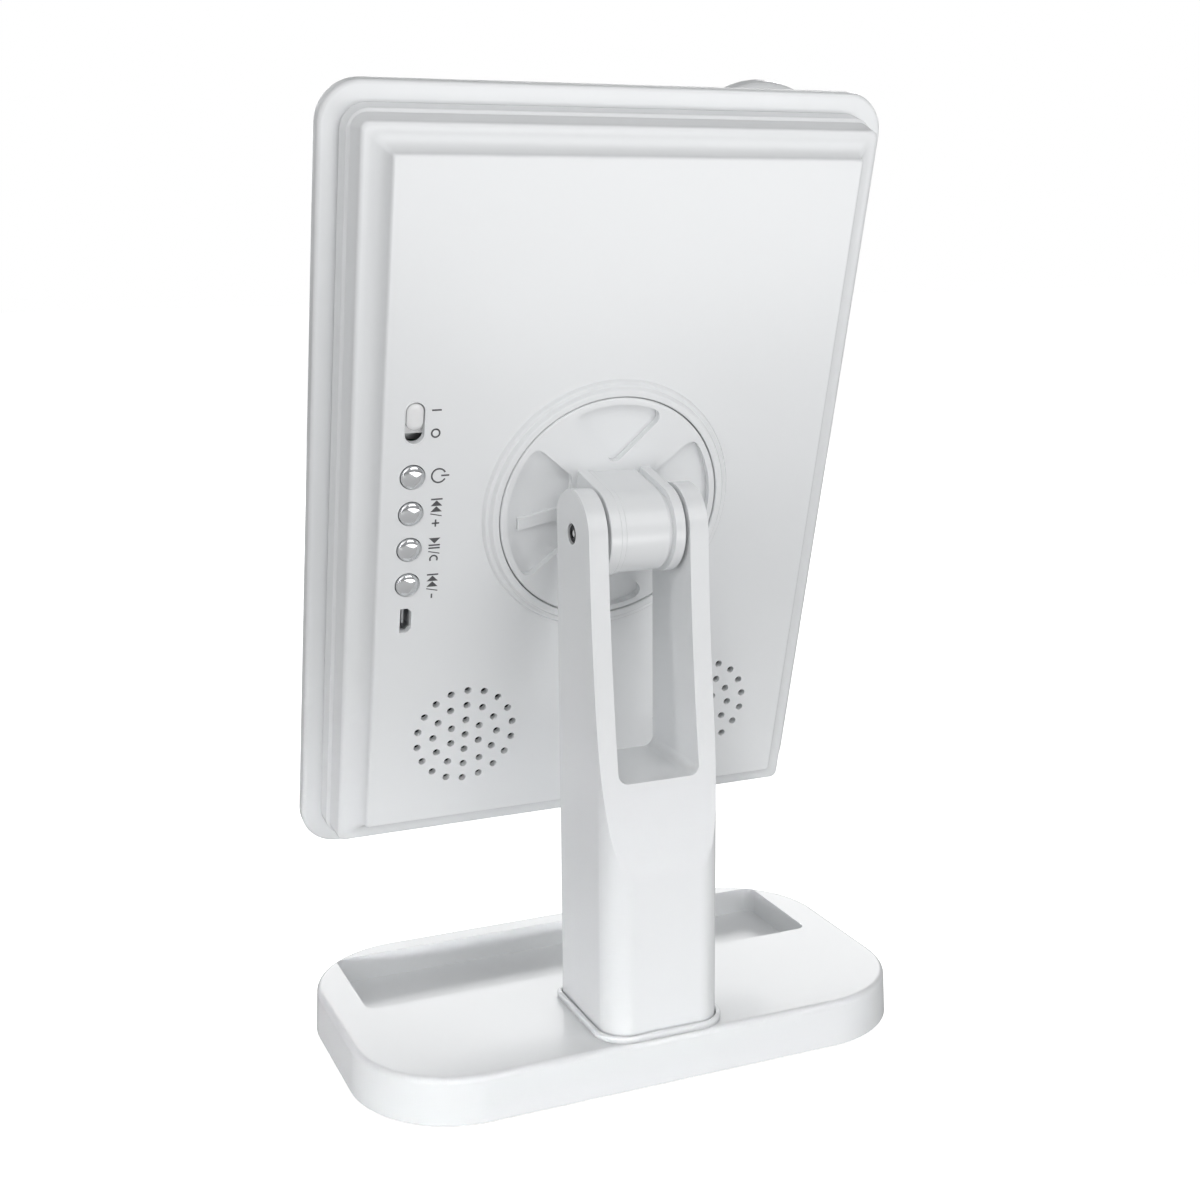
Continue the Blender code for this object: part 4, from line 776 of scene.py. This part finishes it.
@dataclass
class Hinge:
    """The tilt hinge's bolt, with a socket in its head."""

    radius: float = 2 * MM
    head_radius: float = 2.75 * MM
    head_height: float = 2 * MM
    socket: float = 1.4 * MM
    socket_depth: float = 1.4 * MM
    glint_radius: float = 1.1 * MM
    glint_lift: float = 0.9 * MM
    glint_dome: float = 0.33 * MM

    def build(self) -> None:
        """The bolt, and a pale dot at the bottom of its socket: a painted highlight that stands for the glint on
        the bolt's end.
        """
        low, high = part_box("hinge_pin")
        place = ((low.y + high.y) / 2, (low.z + high.z) / 2)
        inner, edge = high.x - self.head_height, 0.4 * MM
        shank = [(0, low.x), (self.radius - edge, low.x), (self.radius, low.x + edge), (self.radius, inner)]
        wide = self.head_radius
        head = [(wide, inner), (wide, high.x - edge), (wide - edge, high.x), (0, high.x)]
        floor = high.x - self.socket_depth
        socket = prism(circle(self.socket, place, 6), floor, high.x + 1 * MM, Along.X)
        bolt = carved(turned(shank + head, 48, Along.X, place), [Cut(socket)])
        edging = Edging(0.12 * MM, segments=2)
        piece("hinge_bolt", bolt, BLACK_STEEL, "stand", ["hinge_pin"], edging=edging)
        # The pale dot is a painted highlight: a white piece that stands for the bright glint in the socket.
        rim = floor + self.glint_lift
        turns = (0.0, 0.4, 0.8, 1.2)
        dome = [(self.glint_radius * math.cos(turn), rim + self.glint_dome * math.sin(turn)) for turn in turns]
        profile = [(0, floor), (self.glint_radius, floor), *dome, (0, rim + self.glint_dome)]
        piece("hinge_bolt_painted_glint", turned(profile, 32, Along.X, place), KNOB_AND_GLINT_WHITE, "stand")


# ---- Hub ---------------------------------------------------------------------------------


@dataclass
class Hub:
    """The disc that the head turns on, and the barrel that the post's arms hold."""

    axes: Matrix
    pocket_depth: float = 2.4 * MM
    pocket_reach: float = 32.4 * MM
    pocket_corner: float = 2.6 * MM
    top_half: float = math.radians(27)
    top_apex: float = 13.8 * MM
    side_half: float = math.radians(40)
    side_start: float = 13.1 * MM
    rib_width: float = 3.8 * MM
    rib_drop: float = 1.2 * MM
    rib_fall: float = math.radians(12)
    disc_thickness: float = 4.2 * MM
    spigot: float = 12.7 * MM
    spigot_height: float = 3.6 * MM
    flange: float = 12.7 * MM
    barrel: float = 12.1 * MM
    barrel_half: float = 11.6 * MM
    groove: float = 1.1 * MM
    bore: float = 2.3 * MM

    def __post_init__(self) -> None:
        """Reads the disc's radius and the height of its back."""
        low, high = extent("hub_disc", self.axes)
        self.radius = high.y
        self.front = low.z + self.spigot_height
        self.back = self.front + self.disc_thickness

    def pocket(self, start: Sequence[Point], half: float, facing: float, radii: Sequence[float]) -> Outline:
        """A pocket whose outer side follows the disc's rim.

        Args:
            start: The corners nearer the hub's middle.
            half: Half the angle that the outer side spans.
            facing: The direction of its middle.
            radii: A radius for each of those corners.

        Returns:
            The rounded outline.
        """
        reach, margin = self.pocket_reach, math.radians(8)
        first, last = arc((0, 0), reach, facing - half, facing + half, 1)
        rim = arc((0, 0), reach, facing - half + margin, facing + half - margin, 14)
        corners = [first, *rim, last, *start]
        return rounded(corners, [self.pocket_corner, *[0] * len(rim), self.pocket_corner, *radii], 8)

    def pockets(self) -> list[Shape]:
        """The two small pockets above and below, and the two large ones beside the barrel."""
        shapes = []
        high = self.back + 3 * MM
        floor = self.back - self.pocket_depth
        for side in (1, -1):
            apex = [(0, side * self.top_apex)]
            line = self.pocket(apex, self.top_half, side * math.pi / 2, [self.pocket_corner])
            shapes.append(prism(line, floor, high))
            facing = 0 if side > 0 else math.pi
            near = side * self.side_start
            rise = near * math.tan(self.side_half)
            line = self.pocket([(near, rise), (near, -rise)], self.side_half, facing, [0.8 * MM] * 2)
            shapes.append(prism(line, floor, high))
        return shapes

    def rib(self, side: int) -> Shape:
        """The rib across a large pocket, which falls a little towards the rim."""
        inner, outer = self.side_start - 2 * MM, self.pocket_reach - 4 * MM
        fall = (outer - inner) * math.tan(self.rib_fall)
        half = self.rib_width / 2
        outline = [(inner, half), (inner, -half), (outer, -half - fall), (outer, half - fall)]
        turned_round = [(side * x, y) for x, y in outline]
        return prism(turned_round, self.back - self.pocket_depth - 1 * MM, self.back - self.rib_drop)

    def neck(self) -> Shape:
        """The barrel, its straight sides down to the disc, and a flange at each end."""
        half, flange, barrel = self.barrel_half, self.flange, self.barrel
        chamfer, groove = flange - 0.3 * MM, barrel - self.groove
        left = [
            (0, chamfer), (0.3, flange), (3.2, flange), (3.4, flange - 0.25 * MM),
            (4.8, flange - 0.25 * MM), (5.0, barrel),
        ]
        right = [(4.9, barrel), (4.7, groove), (3.4, groove), (3.2, flange), (0.3, flange), (0, chamfer)]
        steps = [(x * MM - half, radius) for x, radius in left]
        steps += [(half - x * MM, radius) for x, radius in right]
        deep = self.back - self.disc_thickness / 2
        sections = [arc((0, 0), r, 0, math.pi, 48) + [(-r, deep), (r, deep)] for _, r in steps]
        return loft(sections, [x for x, _ in steps], Along.X)

    def build(self) -> None:
        """The disc with its pockets and ribs, and the barrel."""
        radius, edge = self.radius, 0.7 * MM
        rim = arc((radius - edge, self.back - edge), edge, 0, math.pi / 2, 6)
        low = self.front - self.spigot_height
        spigot = [(0, low), (self.spigot, low), (self.spigot, self.front)]
        plate = turned([*spigot, (radius, self.front), *rim, (0, self.back)], 160)
        cuts = [Cut(joined(self.pockets())), Cut(self.rib(1), "UNION"), Cut(self.rib(-1), "UNION")]
        edging = Edging(0.7 * MM, math.radians(50), 4)
        piece("hub_plate", carved(plate, cuts), WHITE_GLOSS, "hub", ["hub_disc"], self.axes, edging)
        bore = prism(circle(self.bore), -self.barrel_half - 2 * MM, self.barrel_half + 2 * MM, Along.X)
        neck, edging = carved(self.neck(), [Cut(bore)]), Edging(0.15 * MM, math.radians(50), 2)
        piece("hub_barrel", neck, WHITE_GLOSS, "hub", axes=self.axes, edging=edging)


# ---- Head --------------------------------------------------------------------------------


@dataclass
class Casing:
    """The head's rear casing with its ring and grilles, and the frame round the glass."""

    axes: Matrix
    corner: float = 12 * MM
    wall: float = 2.2 * MM
    draft: float = 2.7 * MM
    rise: float = 12 * MM
    cove: float = 7.5 * MM
    body_edge: float = 1.3 * MM
    panel_corner: float = 0.9 * MM
    ledge_height: float = 4.8 * MM
    ledge_width: float = 1.0 * MM
    ring_proud: float = 2.4 * MM
    ring_gap: float = 0.3 * MM
    ring_top: float = 1.5 * MM
    ring_slope: float = 2.4 * MM
    seat_depth: float = 4.5 * MM
    seat_wall: float = 2 * MM
    spigot_bore: float = 13 * MM
    face: float = 9 * MM
    ledge: float = 4 * MM
    frame_edge: float = 1.2 * MM
    grille_pitch: float = 5.13 * MM
    grille_hole: float = 1.15 * MM
    grille_rings: int = 3
    cloth_radius: float = 17 * MM

    def __post_init__(self) -> None:
        """Reads the casing's and the frame's boxes."""
        self.low, self.high = extent("rear_cover", self.axes)
        self.frame_low, self.frame_high = extent("front_bezel", self.axes)
        self.disc_radius = extent("hub_disc", self.axes)[1].y
        self.ring_high = self.high.z
        self.panel = self.ring_high - self.ring_proud

    def outline(self, inset: float, radius: float) -> Outline:
        """The head's outline, moved in by a distance, with its own corner radius."""
        width, height = (2 * (self.frame_high[i] - inset) for i in (0, 1))
        return rectangle(width, height, radius, steps=14)

    def skin(self) -> list[tuple[float, float]]:
        """The outer profile as (inset, height), from the rim over the cove to the panel."""
        rim = self.frame_high.x - self.high.x
        top = self.low.z + self.rise
        edge, ledge = rim + self.draft, self.low.z + self.ledge_height
        foot, wide = rim + 0.5 * MM, self.ledge_width
        wall = [
            (rim, self.low.z), (foot, ledge), (foot + wide, ledge + 0.5 * MM), (edge, top),
            (edge + 2 * self.body_edge, top),
        ]
        body = rounded(wall, [0, 0.5 * MM, 0.4 * MM, self.body_edge, 0], 6, closed=False)[:-1]
        start, rise = edge + self.body_edge, self.panel - top
        length = self.cove - self.body_edge - 0.5 * MM
        turns = [math.radians(84) * i / 12 for i in range(1, 13)]
        cove = [(start + length * math.sin(turn), top + rise * (1 - math.cos(turn))) for turn in turns]
        inner = edge + self.cove
        return [*body, *cove, (inner - 0.2 * MM, self.panel - 0.12 * MM), (inner + 0.3 * MM, self.panel)]

    def corner_at(self, inset: float) -> float:
        """The outline's corner radius at an inset: it sharpens up the wall and across the cove."""
        rim = self.frame_high.x - self.high.x
        body, edge = self.corner - rim + 1 * MM, 2.2 * MM
        past = inset - rim - self.draft
        if past < 0:
            return edge + (body - edge) * min(1.0, -past / self.draft)
        return edge + (self.panel_corner - edge) * min(1.0, past / self.cove)

    def shell(self) -> Shape:
        """The casing as one closed wall, before it is cut."""
        skin = self.skin()
        inner_panel = self.panel - self.wall
        rim, panel_inset = skin[0][0], skin[-1][0]
        body_top = self.low.z + self.rise
        inner = [
            (panel_inset + 0.4 * self.wall, inner_panel),
            (rim + self.draft + 1.5 * self.wall, body_top - 1.2 * self.wall),
            (rim + self.wall, self.low.z),
        ]
        outlines = [self.outline(inset, self.panel_corner + 1 * MM) for inset, _ in inner]
        outlines += [self.outline(inset, self.corner_at(inset)) for inset, _ in skin]
        return loft(outlines, [height for _, height in (*inner, *skin)])

    def ring(self) -> Shape:
        """The raised ring round the hub, solid to the middle."""
        top = self.disc_radius + self.ring_gap + self.ring_top
        foot, high = top + self.ring_slope, self.ring_high
        deep, panel = high - self.seat_depth - self.seat_wall, self.panel
        beads = [
            (foot + 0.7 * MM, panel), (foot, panel + 1.25 * MM), (foot - 1.1 * MM, panel + 1.0 * MM),
            (top + 0.5 * MM, high), (top - 5 * MM, high),
        ]
        slope = rounded(beads, [0, 0.5 * MM, 0.3 * MM, 0.5 * MM, 0], 5, closed=False)[:-1]
        below = [(0, deep), (foot - 1 * MM, deep), (foot, deep + self.seat_wall)]
        return turned([*below, *slope, (0, high)], 200)

    def seat(self) -> Shape:
        """The hollow that the hub's disc turns in, and the bore of its spigot."""
        radius, high, edge = self.disc_radius + self.ring_gap, self.ring_high, 0.4 * MM
        floor, over, bore = high - self.seat_depth, high + 5 * MM, self.spigot_bore
        lip = arc((radius + edge, high - edge), edge, math.pi, math.pi / 2, 4)
        below = [(0, floor - 8 * MM), (bore, floor - 8 * MM), (bore, floor), (radius, floor)]
        return turned([*below, *lip, (radius + edge, over), (0, over)], 200)

    def grille_places(self, side: str) -> list[Point]:
        """A middle hole with rings of six, twelve and eighteen holes round it."""
        centre = middle(f"speaker_basket_{side}", self.axes)
        places = [centre]
        for ring in range(1, self.grille_rings + 1):
            places += circle(ring * self.grille_pitch, centre, 6 * ring, math.pi / 2)
        return places

    def holes(self, controls: "Controls") -> Shape:
        """Every opening through the flat panel."""
        low, high = self.panel - self.wall - 2 * MM, self.panel + 2 * MM
        places = self.grille_places("left") + self.grille_places("right")
        outlines = [circle(self.grille_hole, place, 16) for place in places] + controls.openings()
        return joined(prism(outline, low, high) for outline in outlines)

    def build(self, controls: "Controls") -> None:
        """The casing, the cloth behind its grilles, and the front frame."""
        cuts = [Cut(self.ring(), "UNION"), Cut(self.seat()), Cut(self.holes(controls))]
        shape, edging = carved(self.shell(), cuts), Edging(0.14 * MM, math.radians(55), 2)
        piece("rear_casing", shape, WHITE_GLOSS, "head", ["rear_cover"], self.axes, edging)
        high = self.panel - self.wall - 0.05 * MM
        for side in ("left", "right"):
            disc = circle(self.cloth_radius, middle(f"speaker_basket_{side}", self.axes), 64)
            cloth, edging = prism(disc, high - 0.2 * MM, high), Edging(0.05 * MM)
            piece(f"grille_cloth_{side}", cloth, GRILLE_CLOTH, "head", axes=self.axes, edging=edging)
        self.build_frame()

    def build_frame(self) -> None:
        """The frame round the glass, with soft edges and a ledge that the glass rests on."""
        front, back, edge = self.frame_low.z, self.frame_high.z, self.frame_edge
        seat = extent("mirror_glass", self.axes)[1].z + 0.3 * MM
        outside = arc((edge, front + edge), edge, -math.pi / 2, -math.pi, 6)
        outside += arc((edge, back - edge), edge, math.pi, math.pi / 2, 6)
        face, ledge = self.face, self.face + self.ledge
        profile = outside + [
            (ledge, back), (ledge, seat), (face, seat), (face, front + 0.5 * MM), (face - 0.5 * MM, front),
        ]
        radii = [self.corner - inset for inset, _ in outside] + [2 * MM, 2 * MM, 3 * MM, 3 * MM, 3 * MM]
        outlines = [self.outline(inset, radius) for (inset, _), radius in zip(profile, radii)]
        shape = loft(outlines, [height for _, height in profile], cyclic=True)
        piece("front_frame", shape, WHITE_GLOSS, "head", ["front_bezel"], self.axes)


class Mark(Enum):
    """The printed marks beside the controls, from the switch down to the last button."""

    ON = "on"
    OFF = "off"
    POWER = "power"
    BACK = "back"
    PLAY = "play"
    FORWARD = "forward"


@dataclass
class Controls:
    """The buttons, the switch's knob, the charging port and the marks printed beside them."""

    axes: Matrix
    play: float = 0.3 * MM
    cap_margin: float = 1.35 * MM  # from a button's flange in to its cap
    slot_width: float = 5.6 * MM
    slot_length: float = 12 * MM
    port: tuple[float, float] = (3.4 * MM, 7.8 * MM)
    port_cut: float = 1.2 * MM
    ring: float = 0.45 * MM
    flange: float = 0.9 * MM
    mark_shift: float = 7.5 * MM  # from the buttons' middles to the marks' middles
    mark_height: float = 3.4 * MM
    power_bar_lift: float = 1.9 * MM
    stroke: float = 0.46 * MM
    ink: float = 0.04 * MM

    def __post_init__(self) -> None:
        """Reads where the buttons, the switch and the port are."""
        names = ("power", "previous", "play", "next")
        self.buttons = {name: middle(f"{name}_button", self.axes) for name in names}
        self.column = self.buttons["power"][0]
        self.slot = middle("slide_switch_body", self.axes)
        self.port_place = middle("charging_socket", self.axes)
        self.panel = extent("rear_cover", self.axes)[1].z - 2.4 * MM

    def port_outline(self, grow: float) -> Outline:
        """The charging port's mouth, moved out by a distance: two of its corners are cut."""
        x, y = self.port[0] / 2 + grow, self.port[1] / 2 + grow
        cut = self.port_cut
        corners = [(-x, y), (-x, -y), (x - cut, -y), (x, -y + cut), (x, y - cut), (x - cut, y)]
        moved = [(self.column + a, self.port_place[1] + b) for a, b in corners]
        return rounded(moved, [0.25 * MM] * 6, 3)

    def openings(self) -> list[Outline]:
        """The openings for the buttons, the knob and the port."""
        radius = extent("power_button", self.axes)[1].x - self.buttons["power"][0] - self.cap_margin
        holes = [circle(radius + self.play, place, 48) for place in self.buttons.values()]
        slot = rectangle(self.slot_width, self.slot_length, self.slot_width * 0.49, self.slot)
        return [*holes, slot, self.port_outline(0)]

    def button(self, name: str) -> None:
        """A domed, plated push button."""
        low, high = extent(f"{name}_button", self.axes)
        wide = high.x - self.buttons[name][0]
        radius, side = wide - self.cap_margin, self.panel + 0.2 * MM
        steps = [math.pi / 2 * i / 12 for i in range(13)]
        dome = [(radius * math.cos(turn), side + (high.z - side) * math.sin(turn)) for turn in steps[:-1]]
        flange = [(0, low.z), (wide, low.z), (wide, low.z + self.flange), (radius, low.z + self.flange)]
        shape = turned([*flange, *dome, (0, high.z)], 64, centre=self.buttons[name])
        piece(f"{name}_button_cap", shape, CHROME, f"{name}_button", [f"{name}_button"], self.axes)

    def knob(self) -> None:
        """The switch's knob: a domed pill on a flat slide."""
        low, high = extent("slide_knob", self.axes)
        place = middle("slide_knob", self.axes)
        width = self.slot_width - 2 * self.play
        length = self.slot_length - 2 * self.play - 3.5 * MM
        crown = high.z - self.panel + 0.5 * MM
        turns = (0.0, 0.3, 0.6, 0.9, 1.2)
        insets = [0.0, *(width * 0.5 * (1 - math.cos(turn)) for turn in turns)]
        heights = [high.z - crown + crown * math.sin(turn) for turn in turns[:-1]]
        pills = [rectangle(width - 2 * i, length - 2 * i, (width - 2 * i) * 0.49, place) for i in insets]
        pill = loft(pills, [low.z + 0.3 * MM, *heights, high.z])
        foot = (place[0], place[1] + 1 * MM)
        slide = rectangle(self.slot_width + 2 * MM, length + 5.2 * MM, 1 * MM, foot)
        shape = carved(pill, [Cut(prism(slide, low.z, low.z + 1.2 * MM), "UNION")])
        edging = Edging(0.1 * MM, math.radians(50), 2)
        piece("slide_knob_cap", shape, KNOB_AND_GLINT_WHITE, "slide_knob", ["slide_knob"], self.axes, edging)

    def slot_lip(self) -> None:
        """The thin plated lip round the switch's slot."""
        outer = self.slot_width * 0.49 + self.ring * 0.5
        profile = arc((0, 0), self.ring * 0.5, 0, 2 * math.pi, 10)[:-1]
        lines, heights = [], []
        for a, b in profile:
            size = (self.slot_width + 2 * a + self.ring, self.slot_length + 2 * a + self.ring)
            lines.append(rectangle(*size, outer + a, self.slot))
            heights.append(self.panel + b * 0.5)
        piece("slot_lip", loft(lines, heights, cyclic=True), WHITE_GLOSS, "head", axes=self.axes)

    def glyph(self, mark: Mark) -> list[Outline]:
        """A mark's outlines, which read along X and stand along Y, about its own start.

        Args:
            mark: Which mark.

        Returns:
            Closed outlines.
        """
        half, pen = self.mark_height / 2, self.stroke

        def bar(start: float, width: float = pen, tall: float = half, lean: float = 0.0) -> Outline:
            """An upright or leaning bar."""
            end = start + width
            return [(start - lean, -tall), (end - lean, -tall), (end + lean, tall), (start + lean, tall)]

        def slash(start: float) -> Outline:
            """The thin leaning bar between two marks."""
            return bar(start, 0.3 * MM, half, 0.4 * MM)

        def triangle(start: float, length: float) -> Outline:
            """A triangle that points along the reading direction, or against it."""
            return [(start, -half), (start + length, 0), (start, half)]

        def band(radius: float, first: float, last: float, centre: Point = (0, 0)) -> Outline:
            """A stretch of a ring, as wide as the pen."""
            return arc(centre, radius, first, last, 28) + arc(centre, radius - pen, last, first, 28)

        skip = [bar(0), triangle(2.3 * MM, -1.7 * MM), triangle(4.1 * MM, -1.7 * MM), slash(4.9 * MM)]
        pause = [bar(2.0 * MM), bar(2.9 * MM), slash(4.4 * MM)]
        call = band(1.3 * MM, math.radians(60), math.radians(300), (6.6 * MM, 0))
        gap = math.radians(28)
        return {
            Mark.ON: [bar(-pen / 2, tall=1.4 * MM)],
            Mark.OFF: [band(1.4 * MM, 0, 2 * math.pi - 0.001)],
            Mark.POWER: [
                band(2.3 * MM, math.pi / 2 + gap, math.pi * 5 / 2 - gap), bar(-pen / 2, tall=1.2 * MM)
            ],
            Mark.BACK: [*skip, bar(7.4 * MM, tall=1.1 * MM), bar(6.5 * MM, 2.2 * MM, pen / 2)],
            Mark.PLAY: [triangle(0, 1.7 * MM), *pause, call],
            Mark.FORWARD: [*skip, bar(6.4 * MM, 1.4 * MM, pen / 2)],
        }[mark]

    def marks(self) -> None:
        """The printed marks, which read down the panel from a start, some shifted across it."""
        up = {name: place[1] for name, place in self.buttons.items()}
        starts = {
            Mark.ON: (self.slot[1] + 3.6 * MM, -1.4 * MM),
            Mark.OFF: (self.slot[1] - 3.2 * MM, -1.4 * MM),
            Mark.POWER: (up["power"], 0.2 * MM),
            Mark.BACK: (up["previous"] + 4.2 * MM, 0),
            Mark.PLAY: (up["play"] + 3.1 * MM, 0),
            Mark.FORWARD: (up["next"] + 2.9 * MM, 0),
        }
        prints = []
        for mark, (start, shift) in starts.items():
            across = self.column + self.mark_shift + shift
            for number, outline in enumerate(self.glyph(mark)):
                lift = self.power_bar_lift if mark is Mark.POWER and number == 1 else 0.0
                turned_down = [(across + b + lift, start - a) for a, b in outline]
                prints.append(prism(turned_down, self.panel + 0.005 * MM, self.panel + self.ink))
        made = piece("control_marks", joined(prints), INK, "head", axes=self.axes)
        made.data.shade_flat()

    def build(self) -> None:
        """The caps, the knob, the slot's lip and the marks."""
        for name in self.buttons:
            self.button(name)
        self.knob()
        self.slot_lip()
        self.marks()


@dataclass
class SpotMirror:
    """The small magnifying mirror: its casing and its suction cup."""

    axes: Matrix
    wall: float = 1.8 * MM
    shelf: float = 2.2 * MM
    stub: float = 5.3 * MM

    def build(self) -> None:
        """The dished casing and the cup that holds it."""
        low, high = extent("spot_housing", self.axes)
        place = middle("spot_housing", self.axes)
        radius, back, front = (high.x - low.x) / 2, high.z, low.z
        shoulder = (radius * 0.66, back - 0.4 * MM)
        outer = [(self.stub, back), shoulder, (radius, back - 3.4 * MM), (radius, front)]
        skin = rounded(outer, [0, 12 * MM, 2.2 * MM, 0], 10, closed=False)[:-1]
        lip = arc((radius - self.wall / 2, front + self.wall / 2), self.wall / 2, 0, -math.pi, 8)
        inner = [
            (radius - self.wall, front + self.shelf), (radius - 2 * self.wall, front + self.shelf),
            (radius * 0.85, back - 2 * MM - self.wall), (self.stub, back - self.wall),
        ]
        casing = turned([*skin, *lip, *inner], 128, centre=place)
        piece("spot_casing", casing, WHITE_GLOSS, "spot_mirror", ["spot_housing"], self.axes)
        low, high = extent("spot_suction_cup", self.axes)
        wide, stem, back = (high.x - low.x) / 2, self.stub - 0.3 * MM, high.z
        corners = [
            (0, back - 1 * MM), (wide - 3 * MM, back - 0.8 * MM), (wide - 1 * MM, back),
            (wide, back - 0.3 * MM), (wide * 0.75, back - 2 * MM), (stem, back - 3.6 * MM),
            (stem, low.z), (0, low.z),
        ]
        radii = [radius * MM for radius in (0, 2, 0.3, 0.2, 2, 1, 0.5, 0)]
        cup = turned(rounded(corners, radii, 6, closed=False), 96, centre=place)
        piece("spot_cup", cup, CLEAR_VINYL, "spot_mirror", ["spot_suction_cup"], self.axes)


# ---- Studio ------------------------------------------------------------------------------


@dataclass(frozen=True)
class Softbox:
    """A soft rectangular light, placed by its bearing from a point at a height over the floor."""

    name: str
    azimuth: float
    elevation: float
    distance: float
    size: tuple[float, float]
    power: float
    flat: bool = False
    spread: float = 180
    height: float = 0.144

    def build(self) -> None:
        """The light, turned to that point, or laid flat just over the floor and facing up."""
        data = bpy.data.lights.new(self.name, "AREA")
        data.shape = "RECTANGLE"
        data.size, data.size_y = self.size
        data.energy = self.power
        data.spread = math.radians(self.spread)
        light = placed(self.name, data)
        away = bearing(self.azimuth, self.elevation)
        light.location = Vector((0, 0, self.height)) + away * self.distance
        light.rotation_euler = (-away).to_track_quat("-Z", "Y").to_euler()
        if self.flat:
            light.location.z = 0.01
            light.rotation_euler = (math.pi, 0, -math.radians(self.azimuth))
        light.visible_camera = False


def bearing(azimuth: float, elevation: float) -> Vector:
    """A direction from the object: azimuth 0 is in front of it, on -Y, and angles are in degrees."""
    a, e = math.radians(azimuth), math.radians(elevation)
    return Vector((math.sin(a) * math.cos(e), -math.cos(a) * math.cos(e), math.sin(e)))


@dataclass
class Studio:
    """The floor, the lights, the sky and the camera."""

    azimuth: float = 156.94
    elevation: float = 11.49
    distance: float = 0.5092
    roll: float = -0.4626
    aim: tuple[float, float, float] = (0.00029, -0.00012, 0.14125)
    lens: float = 50.4
    shift: tuple[float, float] = (0.00132, -0.0159)
    lights: tuple[Softbox, ...] = (
        Softbox("key", 198, 34, 1.0, (0.8, 0.6), 2.8),
        Softbox("low_card", 196, 0, 0.78, (0.5, 0.8), 4.0, flat=True),
        Softbox("soft_left", 130, 34, 0.8, (0.6, 0.6), 1.0),
        Softbox("left_strip", 120, 8, 0.9, (0.06, 0.9), 1.0),
        Softbox("front_glow", 337, 15, 1.5, (1.7, 0.45), 10.0),
        Softbox("front_fill", 25, 38, 1.3, (0.9, 0.9), 1.0),
        Softbox("base_wash", 148, 5, 0.8, (0.5, 0.06), 0.12, spread=22, height=-0.01),
    )

    def camera(self) -> None:
        """The camera behind the mirror, a little above its middle."""
        data = bpy.data.cameras.new("camera")
        data.lens, data.sensor_width = self.lens, 36
        data.shift_x, data.shift_y = self.shift
        data.clip_start, data.clip_end = 0.01, 50
        camera = placed("camera", data)
        back = bearing(self.azimuth, self.elevation)
        turn = (-back).to_track_quat("-Z", "Y").to_matrix().to_4x4()
        place = Matrix.Translation(Vector(self.aim) + back * self.distance)
        camera.matrix_world = place @ turn @ Matrix.Rotation(math.radians(self.roll), 4, "Z")
        bpy.context.scene.camera = camera

    def floor(self) -> None:
        """A wide pale floor, which looks white and lights the object only a little."""
        shape = bmesh.new()
        bmesh.ops.create_grid(shape, x_segments=8, y_segments=8, size=6)
        floor = stored("floor", shape)
        material = bpy.data.materials.new("pale_floor")
        tree = Tree(material)
        mottle = tree.spread(tree.noise(0.4, 2), 0, 1)
        tree.shade(
            Base_Color=tree.blend(mottle, (0.6, 0.6, 0.6), (0.59, 0.592, 0.595)),
            Roughness=0.6,
            Emission_Color=(1, 1, 1, 1),
            Emission_Strength=tree.spread(tree.add("LightPath", "Is Camera Ray"), 0.05, 0.9, 0, 1),
        )
        floor.data.materials.append(material)

    def sky(self) -> None:
        """A surround that looks white, and lights softly: more from the horizon than overhead."""
        world = bpy.data.worlds.new("surround")
        bpy.context.scene.world = world
        tree = Tree(world)
        up = tree.add("SeparateXYZ", "Z", {"Vector": tree.add("TexCoord", "Generated")})
        light = {"Color": (0.97, 0.98, 1, 1), "Strength": tree.spread(up, 0.38, 0.1, 0, 1)}
        white = tree.nodes["Background"]
        tree.fill(white, {"Color": (1, 1, 1, 1), "Strength": 1})
        seen = tree.add("LightPath", "Is Camera Ray")
        mix = tree.add("MixShader", 0, {0: seen, 1: tree.add("Background", 0, light), 2: white.outputs[0]})
        tree.fill(tree.nodes["World Output"], {"Surface": mix})

    def build(self) -> None:
        """Everything that isn't the object."""
        bpy.context.scene.view_settings.view_transform = "Standard"
        self.camera()
        self.floor()
        self.sky()
        for light in self.lights:
            light.build()


# ---- The whole mirror --------------------------------------------------------------------


def dress_kept_nodes() -> None:
    """Gives each CAD node the finish of its material slot."""
    for part in frame["record"]["subparts"]:
        node = frame["nodes"][part["node"]]
        material = SLOT_FINISHES[part["material_slot"]].material()
        if not node.material_slots:
            node.data.materials.append(material)
        for place in node.material_slots:
            place.material = material


def main() -> None:
    """Builds the studio and every piece, in order from the base up."""
    logging.basicConfig(level=logging.INFO, format="%(message)s")
    axes = head_axes()
    Studio().build()
    dress_kept_nodes()
    Base().build()
    Post().build()
    Hinge().build()
    Hub(axes).build()
    controls = Controls(axes)
    Casing(axes).build(controls)
    controls.build()
    SpotMirror(axes).build()


if __name__ == "__main__":
    main()
